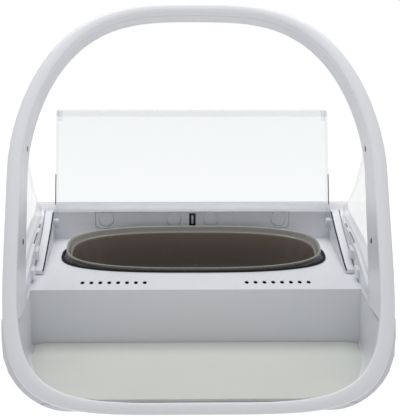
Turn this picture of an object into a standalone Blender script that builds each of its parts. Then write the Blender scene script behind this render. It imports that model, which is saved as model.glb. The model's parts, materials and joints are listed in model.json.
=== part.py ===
"""Automatic pet feeder: a bowl under a clear lid, reached through a leaning hoop.

Metres, +Z up, +Y towards the back, +X to the right seen from the front. The four feet
stand on z = 0 and the origin is under the middle of the feeder.
"""
import math

import bmesh
import bpy
import numpy as np
from mathutils import Matrix

# Whole feeder
WIDTH = 0.230
LENGTH = 0.327
HEIGHT = 0.220
GAP = 0.0003
RUN = 0.00005
FRONT = -LENGTH / 2
BACK = LENGTH / 2
UNDER = 0.0012

# Hoop
LEAN = math.radians(34.0)
HOOP_FOOT = UNDER
HOOP_FACE = FRONT - HOOP_FOOT * math.tan(LEAN)
HOOP_WAIST = 0.126
HOOP_FACE_TOP = 0.0058
HOOP_FACE_SIDE = 0.0085
HOOP_FACE_FOOT = 0.0078
HOOP_TRIM = 0.006
HOOP_DEPTH_TOP = 0.0145
HOOP_DEPTH_FOOT = 0.050
HOOP_TAPER = 0.0015
HOOP_STEPS = 68
TOP_POWERS = (3.17, 1.78)
FOOT_POWERS = (4.5, 6.4)
WINDOW_HEIGHTS = (0.139, 0.087)
WINDOW_R = 0.0019

# Body shell
WALL = 0.0024
SEAM = 0.0050
SIDE_TOP = 0.0455
DECK = 0.042
DECK_THICK = 0.0024
DECK_FRONT = -0.0546
DECK_HALF_FRONT = 0.1066
DECK_HALF_BACK = 0.1064
REAR_WALL = 0.0725
REAR_TOP = 0.068
REAR_ROUND = 0.0055
CHAMFER = ((0.0, 1.0), (0.05, 0.86), (0.14, 0.74), (0.74, 0.14), (0.86, 0.05), (1.0, 0.0))
ROOF_FRONT = (0.0840, 0.0642)
ROOF_BACK = (0.1380, 0.0506)
ROOF_TURN = 0.0255
PLATFORM_HALF = 0.1055
FLOOR_EDGE = (0.042, 0.012)
DRAFT = 0.07
PLATFORM_EDGE = (0.030, 0.003)
EDGE_SHARP = (0.072, 0.090)
CORNER_R = 0.034
VENT_R = 0.0014
VENT_LONG = 0.0034
VENT_SHY = 0.0003
SCREEN_HIGH = 0.0012
VENT_PITCH = 0.00576
VENT_ROW = -0.0388
VENT_FIRST = 0.0331
VENTS = 8
LEVELS = (0.0, 0.03, 0.07, 0.13, 0.21, 0.32, 0.45, 0.58, 1.0)
SCREWS = [(-0.092, -0.042), (0.092, -0.042), (-0.092, 0.112), (0.092, 0.112)]
FEET = [(-0.058, -0.128), (0.058, -0.128), (-0.074, 0.118), (0.074, 0.118)]

# Bowl and its well
BOWL_Y = 0.0262
BOWL_HALF_X = 0.0885
BOWL_HALF_Y = 0.0385
BOWL_MID_Z = 0.0490
BOWL_TILT = math.radians(7.3)
BOWL_FLOOR = 0.0135
BOWL_WALL = 0.0020
BOWL_POWER = 2.75
WELL_ROOM = (0.0017, 0.0028)
WELL_HALF_X = BOWL_HALF_X + WELL_ROOM[0]
WELL_HALF_Y = BOWL_HALF_Y + WELL_ROOM[1]
WELL_DEPTH = 0.0300
SEAL_HIGH = 0.0010

# Lid
PIVOT_Y = 0.066
PIVOT_Z = 0.0565
LID_HALF = 0.0993
LID_LONG = 0.0827
LID_THICK = 0.0022
LID_LEAN = math.radians(22.7)
LID_FLANGE = 0.0032
LID_ROD = 0.0045
PIN_R = 0.0025

# Drive
MODULE = 0.00055
GEAR_TEETH = 24
PINION_TEETH = 20
GEAR_WIDE = 0.0028
GEAR_X = 0.1074
GEAR_SPREAD = 0.00012
PINION_ANGLE = math.radians(-8.0)
SHAFT_R = 0.0015
POD_R = 0.0088
POD_IN = 0.1067
POD_OUT = 0.1136
POCKET_IN = 0.1058
POCKET_OUT = 0.1112

# Side rails and guards
RAIL_IN = 0.1004
RAIL_OUT = 0.1061
RAIL_FRONT = -0.0206
RAIL_BOSS = 0.0085
GUARD_IN = 0.1080
SLOT_IN = 0.1068
SLOT_OUT = 0.1079
SLOTS = ((-0.0080, 0.0170), (0.0280, 0.0380))
SLOT_DEEP = 0.0080
PAD_IN = 0.1046
PADS = ((-0.0130, 0.0010, 0.0505, 0.0560), (-0.0400, -0.0280, 0.0445, 0.0505))
GUARD_THICK = 0.0020
GUARD_BACK = 0.058

# Rear wall plate
PLATE_HALF = 0.0705
PLATE_LOW = 0.0500
PLATE_TOP = 0.0620
PLUGS = (-0.0627, -0.0135, 0.0135, 0.0627)
PLUG_R = 0.0052
PLUG_Z = 0.0567

# Power and controls
CELL_R = 0.0131
CELL_LONG = 0.050
CELL_IN = 0.0085
CELL_APART = 0.0018
CELL_FIRST = 0.0889
CELL_ROWS = (CELL_FIRST + CELL_R, CELL_FIRST + 3 * CELL_R + CELL_APART)
CELL_LIFT = 0.0059
CELL_Z = CELL_LIFT + CELL_R
BOARD_Z = CELL_Z + CELL_R + 0.0049
COVER_IN = 0.0055
COVER_OUT = 0.0610
COVER_FRONT = 0.0865
COVER_BACK = 0.1480
COVER_HIGH = 0.0021
BUTTON_R = 0.0050
BUTTON_PITCH = 0.024
PANEL_Y = 0.112
LIGHT_X = 0.037
BUTTONS = ("pair", "open", "train")
PANEL_HALF = (0.042, 0.011)
MAT_THICK = 0.0018
FOOT_R = 0.0070
FOOT_HIGH = 0.0020

WHITE = (0.86, 0.87, 0.89, 1.0)


def material(name, color, rough=0.3, metal=0.0):
    """One Principled material of its own for each piece."""
    made = bpy.data.materials.new(name)
    made.use_nodes = True
    shader = made.node_tree.nodes["Principled BSDF"]
    shader.inputs["Base Color"].default_value = color
    shader.inputs["Roughness"].default_value = rough
    shader.inputs["Metallic"].default_value = metal
    return made


def finish(name, mesh, color=WHITE, rough=0.3, metal=0.0, smooth=True):
    """Turns a bmesh into a named piece with faces outwards."""
    bmesh.ops.recalc_face_normals(mesh, faces=mesh.faces[:])
    data = bpy.data.meshes.new(name)
    mesh.to_mesh(data)
    mesh.free()
    piece = bpy.data.objects.new(name, data)
    bpy.context.scene.collection.objects.link(piece)
    data.materials.append(material(name, color, rough, metal))
    if smooth:
        data.shade_smooth()
        data.set_sharp_from_angle(angle=math.radians(32))
    return piece


def add_box(mesh, low, high):
    size = [b - a for a, b in zip(low, high)]
    middle = [(a + b) / 2 for a, b in zip(low, high)]
    place = Matrix.Translation(middle) @ Matrix.Diagonal((*size, 1.0))
    bmesh.ops.create_cube(mesh, size=1.0, matrix=place)


def add_rod(mesh, start, end, radius, segments=24, end_radius=None):
    """A round rod between two points."""
    start = np.array(start)
    along = np.array(end) - start
    long = float(np.linalg.norm(along))
    turn = Matrix.Rotation(0, 4, "X")
    direction = along / long
    if abs(direction[0]) > 0.5:
        turn = Matrix.Rotation(math.pi / 2, 4, "Y")
    elif abs(direction[1]) > 0.5:
        turn = Matrix.Rotation(-math.pi / 2, 4, "X")
    place = Matrix.Translation(start + along / 2) @ turn
    bmesh.ops.create_cone(
        mesh,
        cap_ends=True,
        segments=segments,
        radius1=radius,
        radius2=radius if end_radius is None else end_radius,
        depth=long,
        matrix=place,
    )


def add_prism(mesh, outline, axis, low, high):
    """A flat outline carried along one axis; its two numbers are the other two axes in order."""
    ends = []
    for level in (low, high):
        ring = []
        for a, b in outline:
            point = [a, b]
            point.insert(axis, level)
            ring.append(mesh.verts.new(point))
        ends.append(ring)
    mesh.faces.new(ends[0])
    mesh.faces.new(ends[1])
    count = len(outline)
    for i in range(count):
        j = (i + 1) % count
        mesh.faces.new((ends[0][i], ends[0][j], ends[1][j], ends[1][i]))


def add_loft(mesh, rings, loop=False):
    """Faces between closed rings of points, with caps unless the rings themselves close."""
    made = [[mesh.verts.new(point) for point in ring] for ring in rings]
    pairs = list(zip(made, made[1:]))
    if loop:
        pairs.append((made[-1], made[0]))
    else:
        mesh.faces.new(made[0])
        mesh.faces.new(made[-1])
    for first, second in pairs:
        count = len(first)
        for i in range(count):
            j = (i + 1) % count
            mesh.faces.new((first[i], first[j], second[j], second[i]))


def cutter(name, mesh):
    piece = finish(name, mesh, smooth=False)
    piece.hide_render = True
    piece.display_type = "WIRE"
    return piece


def boolean(piece, other, operation):
    step = piece.modifiers.new(other.name, "BOOLEAN")
    step.operation = operation
    step.solver = "EXACT"
    step.object = other


def cut(piece, name, build):
    """Cuts away what build(mesh) draws."""
    mesh = bmesh.new()
    build(mesh)
    boolean(piece, cutter(name, mesh), "DIFFERENCE")


def join(piece, name, build):
    """Joins on what build(mesh) draws."""
    mesh = bmesh.new()
    build(mesh)
    boolean(piece, cutter(name, mesh), "UNION")


def simple(name, build, **look):
    mesh = bmesh.new()
    build(mesh)
    return finish(name, mesh, **look)


def clear_scene():
    for piece in list(bpy.data.objects):
        bpy.data.objects.remove(piece, do_unlink=True)


# ---- Hoop ----


def hoop_point(angle, inset, depth, inner=False):
    """A point of the hoop: angle round it, inset from its outline, depth behind its face.

    The outline is one power curve above the waist and a squarer one below it.
    """
    half = WIDTH / 2 - HOOP_FACE_SIDE * inset
    top = HEIGHT / math.cos(LEAN) - HOOP_FACE_TOP * inset
    foot = HOOP_FOOT / math.cos(LEAN) + HOOP_FACE_FOOT * inset
    waist = HOOP_WAIST / math.cos(LEAN)
    power_x, power_s = TOP_POWERS if math.sin(angle) > 0 else FOOT_POWERS
    reach = top - waist if math.sin(angle) > 0 else waist - foot
    cosine = math.cos(angle)
    sine = math.sin(angle)
    x = half * math.copysign(abs(cosine) ** (2 / power_x), cosine)
    s = waist + reach * math.copysign(abs(sine) ** (2 / power_s), sine)
    high = s * math.cos(LEAN)
    drop = LEAN if inner else LEAN * min(high / HEIGHT, 1.0)
    return (
        x,
        HOOP_FACE + s * math.sin(LEAN) + depth * math.cos(drop),
        high - depth * math.sin(drop),
    )


def hoop_angles():
    """Angles that space the points evenly enough round the corners of the power curves."""
    turns = np.linspace(0.0, 2 * math.pi, HOOP_STEPS, endpoint=False)
    return turns + 0.16 * np.sin(4 * turns)


def hoop_half(s, inset):
    """Half width of the hoop's outline at a distance s up its face."""
    half = WIDTH / 2 - HOOP_FACE_SIDE * inset
    waist = HOOP_WAIST / math.cos(LEAN)
    foot = HOOP_FOOT / math.cos(LEAN) + HOOP_FACE_FOOT * inset
    below = min(max((waist - s) / (waist - foot), 0.0), 1.0)
    return half * (1 - below ** FOOT_POWERS[1]) ** (1 / FOOT_POWERS[0])


def hoop_depth(high):
    share = min(max(high / HEIGHT, 0.0), 1.0)
    return HOOP_DEPTH_TOP + (HOOP_DEPTH_FOOT - HOOP_DEPTH_TOP) * (1 - share) ** 1.35


def hoop_rear(high):
    """Rear edge of the hoop, from the height of the face point in front of it."""
    drop = LEAN * high / HEIGHT
    depth = hoop_depth(high)
    return (
        HOOP_FACE + high * math.tan(LEAN) + depth * math.cos(drop),
        high - depth * math.sin(drop),
    )


def make_hoop_trim():
    rings = []
    for angle in hoop_angles():
        rings.append(
            [
                hoop_point(angle, 0.0, 0.0),
                hoop_point(angle, 0.5, -0.0006, True),
                hoop_point(angle, 1.0, 0.0, True),
                hoop_point(angle, 1.0, HOOP_TRIM, True),
                hoop_point(angle, 0.72, HOOP_TRIM),
                hoop_point(angle, 0.72, HOOP_TRIM - 0.0036),
                hoop_point(angle, 0.34, HOOP_TRIM - 0.0036),
                hoop_point(angle, 0.34, HOOP_TRIM),
                hoop_point(angle, 0.0, HOOP_TRIM),
            ]
        )
    return simple("hoop_trim", lambda mesh: add_loft(mesh, rings, True))


def make_antenna():
    rings = []
    for angle in hoop_angles():
        rings.append(
            [
                hoop_point(angle, 0.40, HOOP_TRIM - 0.0033),
                hoop_point(angle, 0.66, HOOP_TRIM - 0.0033),
                hoop_point(angle, 0.66, HOOP_TRIM - 0.0008),
                hoop_point(angle, 0.40, HOOP_TRIM - 0.0008),
            ]
        )
    return simple(
        "antenna_coil",
        lambda mesh: add_loft(mesh, rings, True),
        color=(0.62, 0.33, 0.16, 1),
        metal=1.0,
    )


def make_hoop_band():
    rings = []
    for angle in hoop_angles():
        high = hoop_point(angle, 0.0, 0.0)[2]
        depth = hoop_depth(high)
        taper = 1.0 + HOOP_TAPER / HOOP_FACE_SIDE
        start = HOOP_TRIM + GAP
        rings.append(
            [
                hoop_point(angle, 0.0, start),
                hoop_point(angle, 1.0, start, True),
                hoop_point(angle, taper, depth),
                hoop_point(angle, 0.5, depth + 0.0012),
                hoop_point(angle, 0.0, depth),
            ]
        )
    band = simple("hoop_band", lambda mesh: add_loft(mesh, rings, True))
    cut(
        band,
        "band_foot",
        lambda mesh: add_box(mesh, (-0.2, -0.3, -0.1), (0.2, 0.1, SIDE_TOP + GAP)),
    )
    for side in (-1, 1):
        for high in WINDOW_HEIGHTS:
            place = window_place(side, high)
            cut(
                band,
                f"window_bore_{side}_{high}",
                lambda mesh: add_rod(
                    mesh,
                    (side * (place[0] - 0.006), place[1], place[2]),
                    (side * (place[0] + 0.0036), place[1], place[2]),
                    WINDOW_R + RUN * 4,
                    16,
                ),
            )
    return band


def window_place(side, high):
    """Middle of a light window on the hoop's inner side."""
    front_y = HOOP_FACE + high * math.tan(LEAN)
    drop = LEAN * high / HEIGHT
    depth = hoop_depth(high) * 0.62
    half = WIDTH / 2 - HOOP_FACE_SIDE
    return (
        half - 0.0004,
        front_y + depth * math.cos(drop),
        high - depth * math.sin(drop),
    )


def make_windows():
    for side, word in ((-1, "left"), (1, "right")):
        for high, level in zip(WINDOW_HEIGHTS, ("high", "low")):
            x, y, z = window_place(side, high)
            simple(
                f"light_window_{word}_{level}",
                lambda mesh: add_rod(
                    mesh,
                    (side * (x + 0.0004), y, z),
                    (side * (x + 0.0033), y, z),
                    WINDOW_R,
                    16,
                ),
                color=(0.03, 0.02, 0.03, 1),
                rough=0.1,
            )


# ---- Body shell ----


def body_half(y, z, inset=0.0, inner=False):
    """Half width of the body at a height. Its lower edge is round, and sharper away from the hoop."""
    wide, sharp = PLATFORM_EDGE if inner else FLOOR_EDGE
    reach = EDGE_SHARP[int(inner)]
    along = min(max((y - FRONT) / reach, 0.0), 1.0)
    radius = wide + (sharp - wide) * along
    up = min(max(z - (SEAM - 0.0002 if inner else UNDER), 0.0), radius)
    half = PLATFORM_HALF if inner else WIDTH / 2 - DRAFT * max(SIDE_TOP - z, 0.0)
    half -= radius - math.sqrt(radius**2 - (radius - up) ** 2)
    if y > 0.02:
        half -= 0.0055 * ((y - 0.02) / (BACK - 0.02)) ** 2
    corner = y - (BACK - CORNER_R)
    if corner > 0:
        half -= CORNER_R - math.sqrt(max(CORNER_R**2 - corner**2, 0.0))
    return half - inset


def body_rings(low, high, inset, stations, levels, inner=False):
    """Closed cross sections of the body, one per station along it."""
    rings = []
    for y in stations:
        heights = np.array([low + (high - low) * share for share in levels])
        right = [(body_half(y, z, inset, inner), y, z) for z in heights]
        left = [(-x, y, z) for x, y, z in reversed(right)]
        rings.append(right + left)
    return rings


def body_stations(start, end):
    front = list(np.linspace(start, min(end, 0.02), 8))
    rear = list(np.linspace(0.04, BACK - CORNER_R, 5))
    turn = [
        BACK - CORNER_R + CORNER_R * math.sin(a) for a in np.linspace(0.2, 1.5, 8)
    ]
    return [y for y in front + rear + turn if y <= end] + [end]


def lean_cut(mesh, depth):
    """Everything in front of a plane that lies behind the hoop's trim."""
    low, high = -0.02, 0.30
    rows = [
        (HOOP_FACE + low * math.tan(LEAN) + depth, low),
        (HOOP_FACE + high * math.tan(LEAN) + depth, high),
        (FRONT - 0.1, high),
        (FRONT - 0.1, low),
    ]
    add_prism(mesh, rows, 0, -0.2, 0.2)


def make_base_tray():
    stations = body_stations(FRONT - 0.01, BACK)
    levels = (0.0, 0.06, 0.22, 0.55, 1.0)
    tray = simple(
        "base_tray",
        lambda mesh: add_loft(
            mesh, body_rings(UNDER, SEAM - GAP, 0.0, stations, levels)
        ),
    )
    cut(tray, "tray_front", lambda mesh: lean_cut(mesh, HOOP_TRIM / math.cos(LEAN) + GAP))
    hollow = body_stations(DECK_FRONT + 0.003, BACK - 0.006)
    cut(
        tray,
        "tray_hollow",
        lambda mesh: add_loft(mesh, body_rings(0.0034, 0.03, 0.0060, hollow, (0.0, 1.0))),
    )
    join(tray, "tray_posts", lambda mesh: add_posts(mesh, 0.0022, SEAM - 0.0006, 0.0048))
    cut(tray, "tray_screw_heads", add_screw_holes)
    cut(tray, "tray_screw_shanks", lambda mesh: add_posts(mesh, 0.002, 0.010, 0.0018))
    cut(tray, "tray_foot_seats", lambda mesh: add_feet(mesh, -0.001, FOOT_HIGH + GAP, FOOT_R + GAP))
    for side in (-1, 1):
        cut(
            tray,
            f"tray_cover_way_{side}",
            lambda mesh: add_box(
                mesh,
                (min(side * (COVER_IN - GAP), side * (COVER_OUT + GAP)), COVER_FRONT - GAP, -0.01),
                (max(side * (COVER_IN - GAP), side * (COVER_OUT + GAP)), 0.2, 0.0012 + COVER_HIGH + GAP),
            ),
        )
    return tray


def add_posts(mesh, low, high, radius):
    for x, y in SCREWS:
        add_rod(mesh, (x, y, low), (x, y, high), radius, 16)


def add_long_posts(mesh):
    """Posts from the seam up into the deck or the roof."""
    for x, y in SCREWS:
        top = DECK - 0.0015 if y < REAR_WALL else roof_height(y) - 0.0015
        add_rod(mesh, (x, y, SEAM), (x, y, top), 0.0042, 16)


def add_screw_holes(mesh):
    for x, y in SCREWS:
        add_rod(mesh, (x, y, -0.001), (x, y, 0.0030), 0.0030, 16)


def add_feet(mesh, low, high, radius):
    for x, y in FEET:
        add_rod(mesh, (x, y, low), (x, y, high), radius, 24)


def make_screws():
    for i, (x, y) in enumerate(SCREWS, 1):
        screw = simple(
            f"base_screw_{i}",
            lambda mesh: add_rod(mesh, (x, y, 0.0016), (x, y, 0.0027), 0.0027, 16),
            color=(0.5, 0.5, 0.52, 1),
            metal=1.0,
        )
        join(
            screw,
            f"screw_shank_{i}",
            lambda mesh: add_rod(mesh, (x, y, 0.0020), (x, y, 0.020), 0.0015, 12),
        )


def side_profile(raise_by):
    """Top of the body seen from the side, from the hoop to the rear end."""
    rows = [(FRONT - 0.03, SIDE_TOP), (-0.0868, SIDE_TOP), (-0.078, 0.0475)]
    for share in np.linspace(0.15, 1.0, 6):
        rows.append((-0.078 + 0.098 * share, 0.0475 + 0.0140 * math.sin(share * math.pi / 2)))
    rows.append((0.064, REAR_TOP - REAR_ROUND + 0.0004))
    for out, down in CHAMFER:
        rows.append((REAR_WALL + REAR_ROUND * out, REAR_TOP - REAR_ROUND * down))
    rows += [(0.0800, REAR_TOP), (0.0825, REAR_TOP - 0.0016), ROOF_FRONT, ROOF_BACK]
    for share in np.linspace(0.2, 1.0, 5):
        angle = share * math.pi / 2
        rows.append(
            (
                ROOF_BACK[0] + ROOF_TURN * math.sin(angle),
                ROOF_BACK[1] - 0.25 * ROOF_TURN * math.sin(angle) - 0.030 * (1 - math.cos(angle)),
            )
        )
    return [(y, z + raise_by) for y, z in rows]


def roof_height(y):
    (y0, z0), (y1, z1) = ROOF_FRONT, ROOF_BACK
    return z0 + (z1 - z0) * (y - y0) / (y1 - y0)


def on_roof():
    """Places a shape drawn round the origin on the sloping roof, with +Z out of it."""
    slope = math.atan2(ROOF_BACK[1] - ROOF_FRONT[1], ROOF_BACK[0] - ROOF_FRONT[0])
    middle = Matrix.Translation((0.0, PANEL_Y, roof_height(PANEL_Y)))
    return middle @ Matrix.Rotation(slope, 4, "X")


def roofed(build):
    """The same drawing, laid on the roof."""

    def placed(mesh):
        build(mesh)
        bmesh.ops.transform(mesh, matrix=on_roof(), verts=mesh.verts[:])

    return placed


def above_profile(mesh):
    rows = side_profile(0.0) + [(0.25, 0.02), (0.25, 0.2), (FRONT - 0.03, 0.2)]
    add_prism(mesh, rows, 0, -0.2, 0.2)


def well_ring(z, half_x, half_y, y=BOWL_Y, power=BOWL_POWER, steps=40, tilt=0.0):
    ring = []
    for i in range(steps):
        angle = 2 * math.pi * i / steps
        cosine, sine = math.cos(angle), math.sin(angle)
        a = half_x * math.copysign(abs(cosine) ** (2 / power), cosine)
        b = half_y * math.copysign(abs(sine) ** (2 / power), sine)
        ring.append((a, y + b, z + b * math.tan(tilt)))
    return ring


def add_well(mesh, low, high, grow, shrink=0.010):
    rings = [
        well_ring(low, WELL_HALF_X - shrink + grow, WELL_HALF_Y - shrink + grow),
        well_ring(high, WELL_HALF_X + grow, WELL_HALF_Y + grow),
    ]
    add_loft(mesh, rings)


def under_deck(mesh):
    stations = list(np.linspace(DECK_FRONT + WALL, REAR_WALL + 0.001, 5))
    add_loft(mesh, body_rings(-0.01, DECK - DECK_THICK, WALL, stations, (0.0, 0.35, 0.45, 0.6, 1.0)))


def rear_hollow(mesh):
    stations = [y for y in body_stations(0.0, BACK - WALL) if y > REAR_WALL + WALL + 0.004]
    stations = [REAR_WALL + WALL] + stations
    add_loft(mesh, body_rings(-0.01, 0.08, WALL, stations, (0.0, 0.14, 0.20, 0.30, 1.0)))


def above_roof(mesh):
    rows = [(y - WALL * 0.4, z) for y, z in side_profile(-WALL)]
    rows += [(0.25, 0.02), (0.25, 0.2), (FRONT - 0.03, 0.2)]
    add_prism(mesh, rows, 0, -0.2, 0.2)


def add_pods(mesh):
    """Round shoulders on the side walls, level with the lid's pins."""
    for side in (-1, 1):
        ends = sorted((side * POD_IN, side * POD_OUT))
        add_rod(mesh, (ends[0], PIVOT_Y, PIVOT_Z), (ends[1], PIVOT_Y, PIVOT_Z), POD_R, 32)


def add_guard_slots(mesh):
    """Narrow slots along the tops of the side walls, just inside the guards."""
    for side in (-1, 1):
        a, b = sorted((side * SLOT_IN, side * SLOT_OUT))
        for start, end in SLOTS:
            low = profile_height(start) - SLOT_DEEP
            add_box(mesh, (a, start, low), (b, end, 0.075))


def add_guard_pads(mesh):
    """Pads on the inner faces of the side walls, below the guards."""
    for side in (-1, 1):
        a, b = sorted((side * PAD_IN, side * (GUARD_IN + 0.0005)))
        for start, end, low, high in PADS:
            add_box(mesh, (a, start, low), (b, end, high))


def cut_drive_pocket(housing):
    """Room beside the right rail for the gear, and behind it for the pinion."""
    y, z = pinion_centre()
    places = (
        ("gear_pocket", PIVOT_Y, PIVOT_Z, gear_tip(GEAR_TEETH) + GAP),
        ("pinion_pocket", y, z, gear_tip(PINION_TEETH) + GAP),
    )
    for name, at_y, at_z, radius in places:
        cut(
            housing,
            name,
            lambda mesh: add_rod(
                mesh, (POCKET_IN, at_y, at_z), (POCKET_OUT, at_y, at_z), radius, 32
            ),
        )


def make_upper_housing():
    stations = body_stations(FRONT - 0.01, BACK)
    housing = simple(
        "upper_housing",
        lambda mesh: add_loft(mesh, body_rings(SEAM, 0.075, 0.0, stations, LEVELS)),
    )
    cut(housing, "housing_front", lambda mesh: lean_cut(mesh, HOOP_TRIM / math.cos(LEAN) + GAP))
    cut(housing, "housing_top", above_profile)
    cut(
        housing,
        "platform",
        lambda mesh: add_loft(
            mesh,
            body_rings(
                SEAM - 0.004, 0.09, 0.0, list(np.linspace(FRONT - 0.02, DECK_FRONT, 9)),
                (0.0, 0.045, 0.052, 0.065, 0.09, 0.14, 0.22, 0.40, 1.0), True,
            ),
        ),
    )
    deck_rows = [
        (-DECK_HALF_FRONT, FRONT - 0.05),
        (DECK_HALF_FRONT, FRONT - 0.05),
        (DECK_HALF_BACK, REAR_WALL),
        (-DECK_HALF_BACK, REAR_WALL),
    ]
    cut(housing, "above_deck", lambda mesh: add_prism(mesh, deck_rows, 2, DECK, 0.15))
    under = bmesh.new()
    under_deck(under)
    under = cutter("under_deck", under)
    cut(under, "well_outside", lambda mesh: add_well(mesh, DECK - WELL_DEPTH - WALL, DECK, WALL))
    boolean(housing, under, "DIFFERENCE")
    cut(housing, "well", lambda mesh: add_well(mesh, DECK - WELL_DEPTH, DECK + 0.0001, 0.0))
    hollow = bmesh.new()
    rear_hollow(hollow)
    hollow = cutter("rear_hollow", hollow)
    cut(hollow, "rear_roof", above_roof)
    boolean(housing, hollow, "DIFFERENCE")
    join(housing, "pods", add_pods)
    cut(housing, "guard_slots", add_guard_slots)
    join(housing, "guard_pads", add_guard_pads)
    cut_drive_pocket(housing)
    cut(housing, "vents", add_vents)
    cut(housing, "wall_recess", add_wall_recess)
    cut(housing, "panel_recess", roofed(add_panel_recess))
    cut(housing, "roof_holes", roofed(add_roof_holes))
    join(housing, "housing_posts", add_long_posts)
    cut(housing, "post_holes", lambda mesh: add_posts(mesh, 0.0, 0.0230, 0.0017))
    return housing


def vent_rows(x, shrink=0.0):
    """Outline of one vent: an oval, longer from front to back."""
    rows = []
    for i in range(12):
        angle = 2 * math.pi * i / 12
        rows.append(
            (
                x + (VENT_R - shrink) * math.cos(angle),
                VENT_ROW + (VENT_LONG - shrink) * math.sin(angle),
            )
        )
    return rows


def vent_places(side):
    return [side * (VENT_FIRST + VENT_PITCH * i) for i in range(VENTS)]


def add_vents(mesh):
    for x in vent_places(-1) + vent_places(1):
        add_prism(mesh, vent_rows(x), 2, DECK - 0.005, DECK + 0.002)


def make_vent_screens():
    """Dark screens under the deck, each with a stud in every vent."""
    top = DECK - DECK_THICK - GAP
    for side, word in ((-1, "left"), (1, "right")):
        places = vent_places(side)
        a, b = min(places) - 0.004, max(places) + 0.004
        screen = simple(
            f"vent_screen_{word}",
            lambda mesh: add_box(
                mesh, (a, VENT_ROW - 0.005, top - SCREEN_HIGH), (b, VENT_ROW + 0.005, top)
            ),
            color=(0.03, 0.03, 0.035, 1),
            rough=0.7,
        )
        for i, x in enumerate(places, 1):
            join(
                screen,
                f"vent_stud_{word}_{i}",
                lambda mesh: add_prism(
                    mesh, vent_rows(x, RUN * 3), 2, top - SCREEN_HIGH / 2, DECK - VENT_SHY
                ),
            )


def plate_rows(grow):
    """Outline of the rear wall's plate: square at the top and round at its lower corners."""
    radius = 0.0035
    low = PLATE_LOW - grow
    half = PLATE_HALF + grow
    rows = [(-half, PLATE_TOP + grow), (half, PLATE_TOP + grow)]
    for a in np.linspace(0, math.pi / 2, 5):
        rows.append((half - radius + radius * math.cos(a), low + radius - radius * math.sin(a)))
    for a in np.linspace(math.pi / 2, 0, 5):
        rows.append((-half + radius - radius * math.cos(a), low + radius - radius * math.sin(a)))
    return rows


def add_wall_recess(mesh):
    add_prism(mesh, plate_rows(GAP), 1, REAR_WALL - 0.002, REAR_WALL + 0.0012)


def make_wall_plate():
    plate = simple(
        "wall_plate",
        lambda mesh: add_prism(mesh, plate_rows(0.0), 1, REAR_WALL + 0.0001, REAR_WALL + 0.0009),
    )

    def holes(mesh):
        for x in PLUGS:
            add_rod(mesh, (x, 0.07, PLUG_Z), (x, 0.08, PLUG_Z), PLUG_R + 0.0002, 20)
        add_box(mesh, (-0.0024, 0.07, 0.0517), (0.0024, 0.08, 0.0611))

    cut(plate, "plate_holes", holes)
    for i, x in enumerate(PLUGS, 1):
        simple(
            f"wall_plug_{i}",
            lambda mesh: add_rod(
                mesh, (x, REAR_WALL - 0.0002, PLUG_Z), (x, REAR_WALL + 0.0009, PLUG_Z), PLUG_R, 20
            ),
        )
    simple(
        "lid_sensor",
        lambda mesh: add_box(
            mesh, (-0.0021, REAR_WALL - 0.0001, 0.0520), (0.0021, REAR_WALL + 0.0009, 0.0608)
        ),
        color=(0.05, 0.05, 0.06, 1),
        rough=0.15,
    )


def button_places():
    return [(i - 1) * BUTTON_PITCH for i in range(3)]


def add_panel_recess(mesh):
    low = (-PANEL_HALF[0] - GAP, -PANEL_HALF[1] - GAP, -0.0012)
    high = (PANEL_HALF[0] + GAP, PANEL_HALF[1] + GAP, 0.004)
    add_box(mesh, low, high)


def add_roof_holes(mesh):
    for x in button_places():
        add_rod(mesh, (x, 0, -0.008), (x, 0, 0.006), BUTTON_R + 0.0005, 30)


def add_panel_holes(mesh):
    for x in button_places():
        add_rod(mesh, (x, 0, -0.01), (x, 0, 0.01), BUTTON_R + 0.0005, 30)
    add_rod(mesh, (LIGHT_X, 0, -0.01), (LIGHT_X, 0, 0.01), 0.0017, 16)


def add_button(mesh, x):
    """Side view of half a button, turned round its own axis: cap, stem and a rim under the roof."""
    cap = BUTTON_R
    stem = BUTTON_R - 0.0008
    rim = BUTTON_R + 0.0012
    rows = [(stem, -0.0052), (rim, -0.0052), (rim, -0.0040), (stem, -0.0040)]
    rows += [(stem, -0.0010), (cap, -0.0006), (cap, 0.0014), (cap - 0.0005, 0.0019)]
    rings = []
    for radius, z in rows:
        ring = [
            (x + radius * math.cos(a), radius * math.sin(a), z)
            for a in np.linspace(0, 2 * math.pi, 24, endpoint=False)
        ]
        rings.append(ring)
    add_loft(mesh, rings)


def make_control_panel():
    half_x, half_y = PANEL_HALF
    panel = simple(
        "control_panel",
        roofed(lambda mesh: add_box(mesh, (-half_x, -half_y, -0.0009), (half_x, half_y, 0.0006))),
        color=(0.80, 0.81, 0.83, 1),
    )
    cut(panel, "panel_holes", roofed(add_panel_holes))
    for word, x in zip(BUTTONS, button_places()):
        simple(
            f"button_{word}",
            roofed(lambda mesh: add_button(mesh, x)),
            color=(0.55, 0.57, 0.60, 1),
        )
    simple(
        "status_light",
        roofed(
            lambda mesh: add_rod(mesh, (LIGHT_X, 0, -0.0008), (LIGHT_X, 0, 0.0010), 0.0015, 16)
        ),
        color=(0.2, 0.6, 0.25, 1),
        rough=0.1,
    )
    simple(
        "circuit_board",
        lambda mesh: add_box(mesh, (-0.060, 0.0960, BOARD_Z), (0.060, 0.1400, BOARD_Z + 0.0016)),
        color=(0.05, 0.30, 0.12, 1),
    )


# ---- Bowl, mat, seal ----


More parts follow.
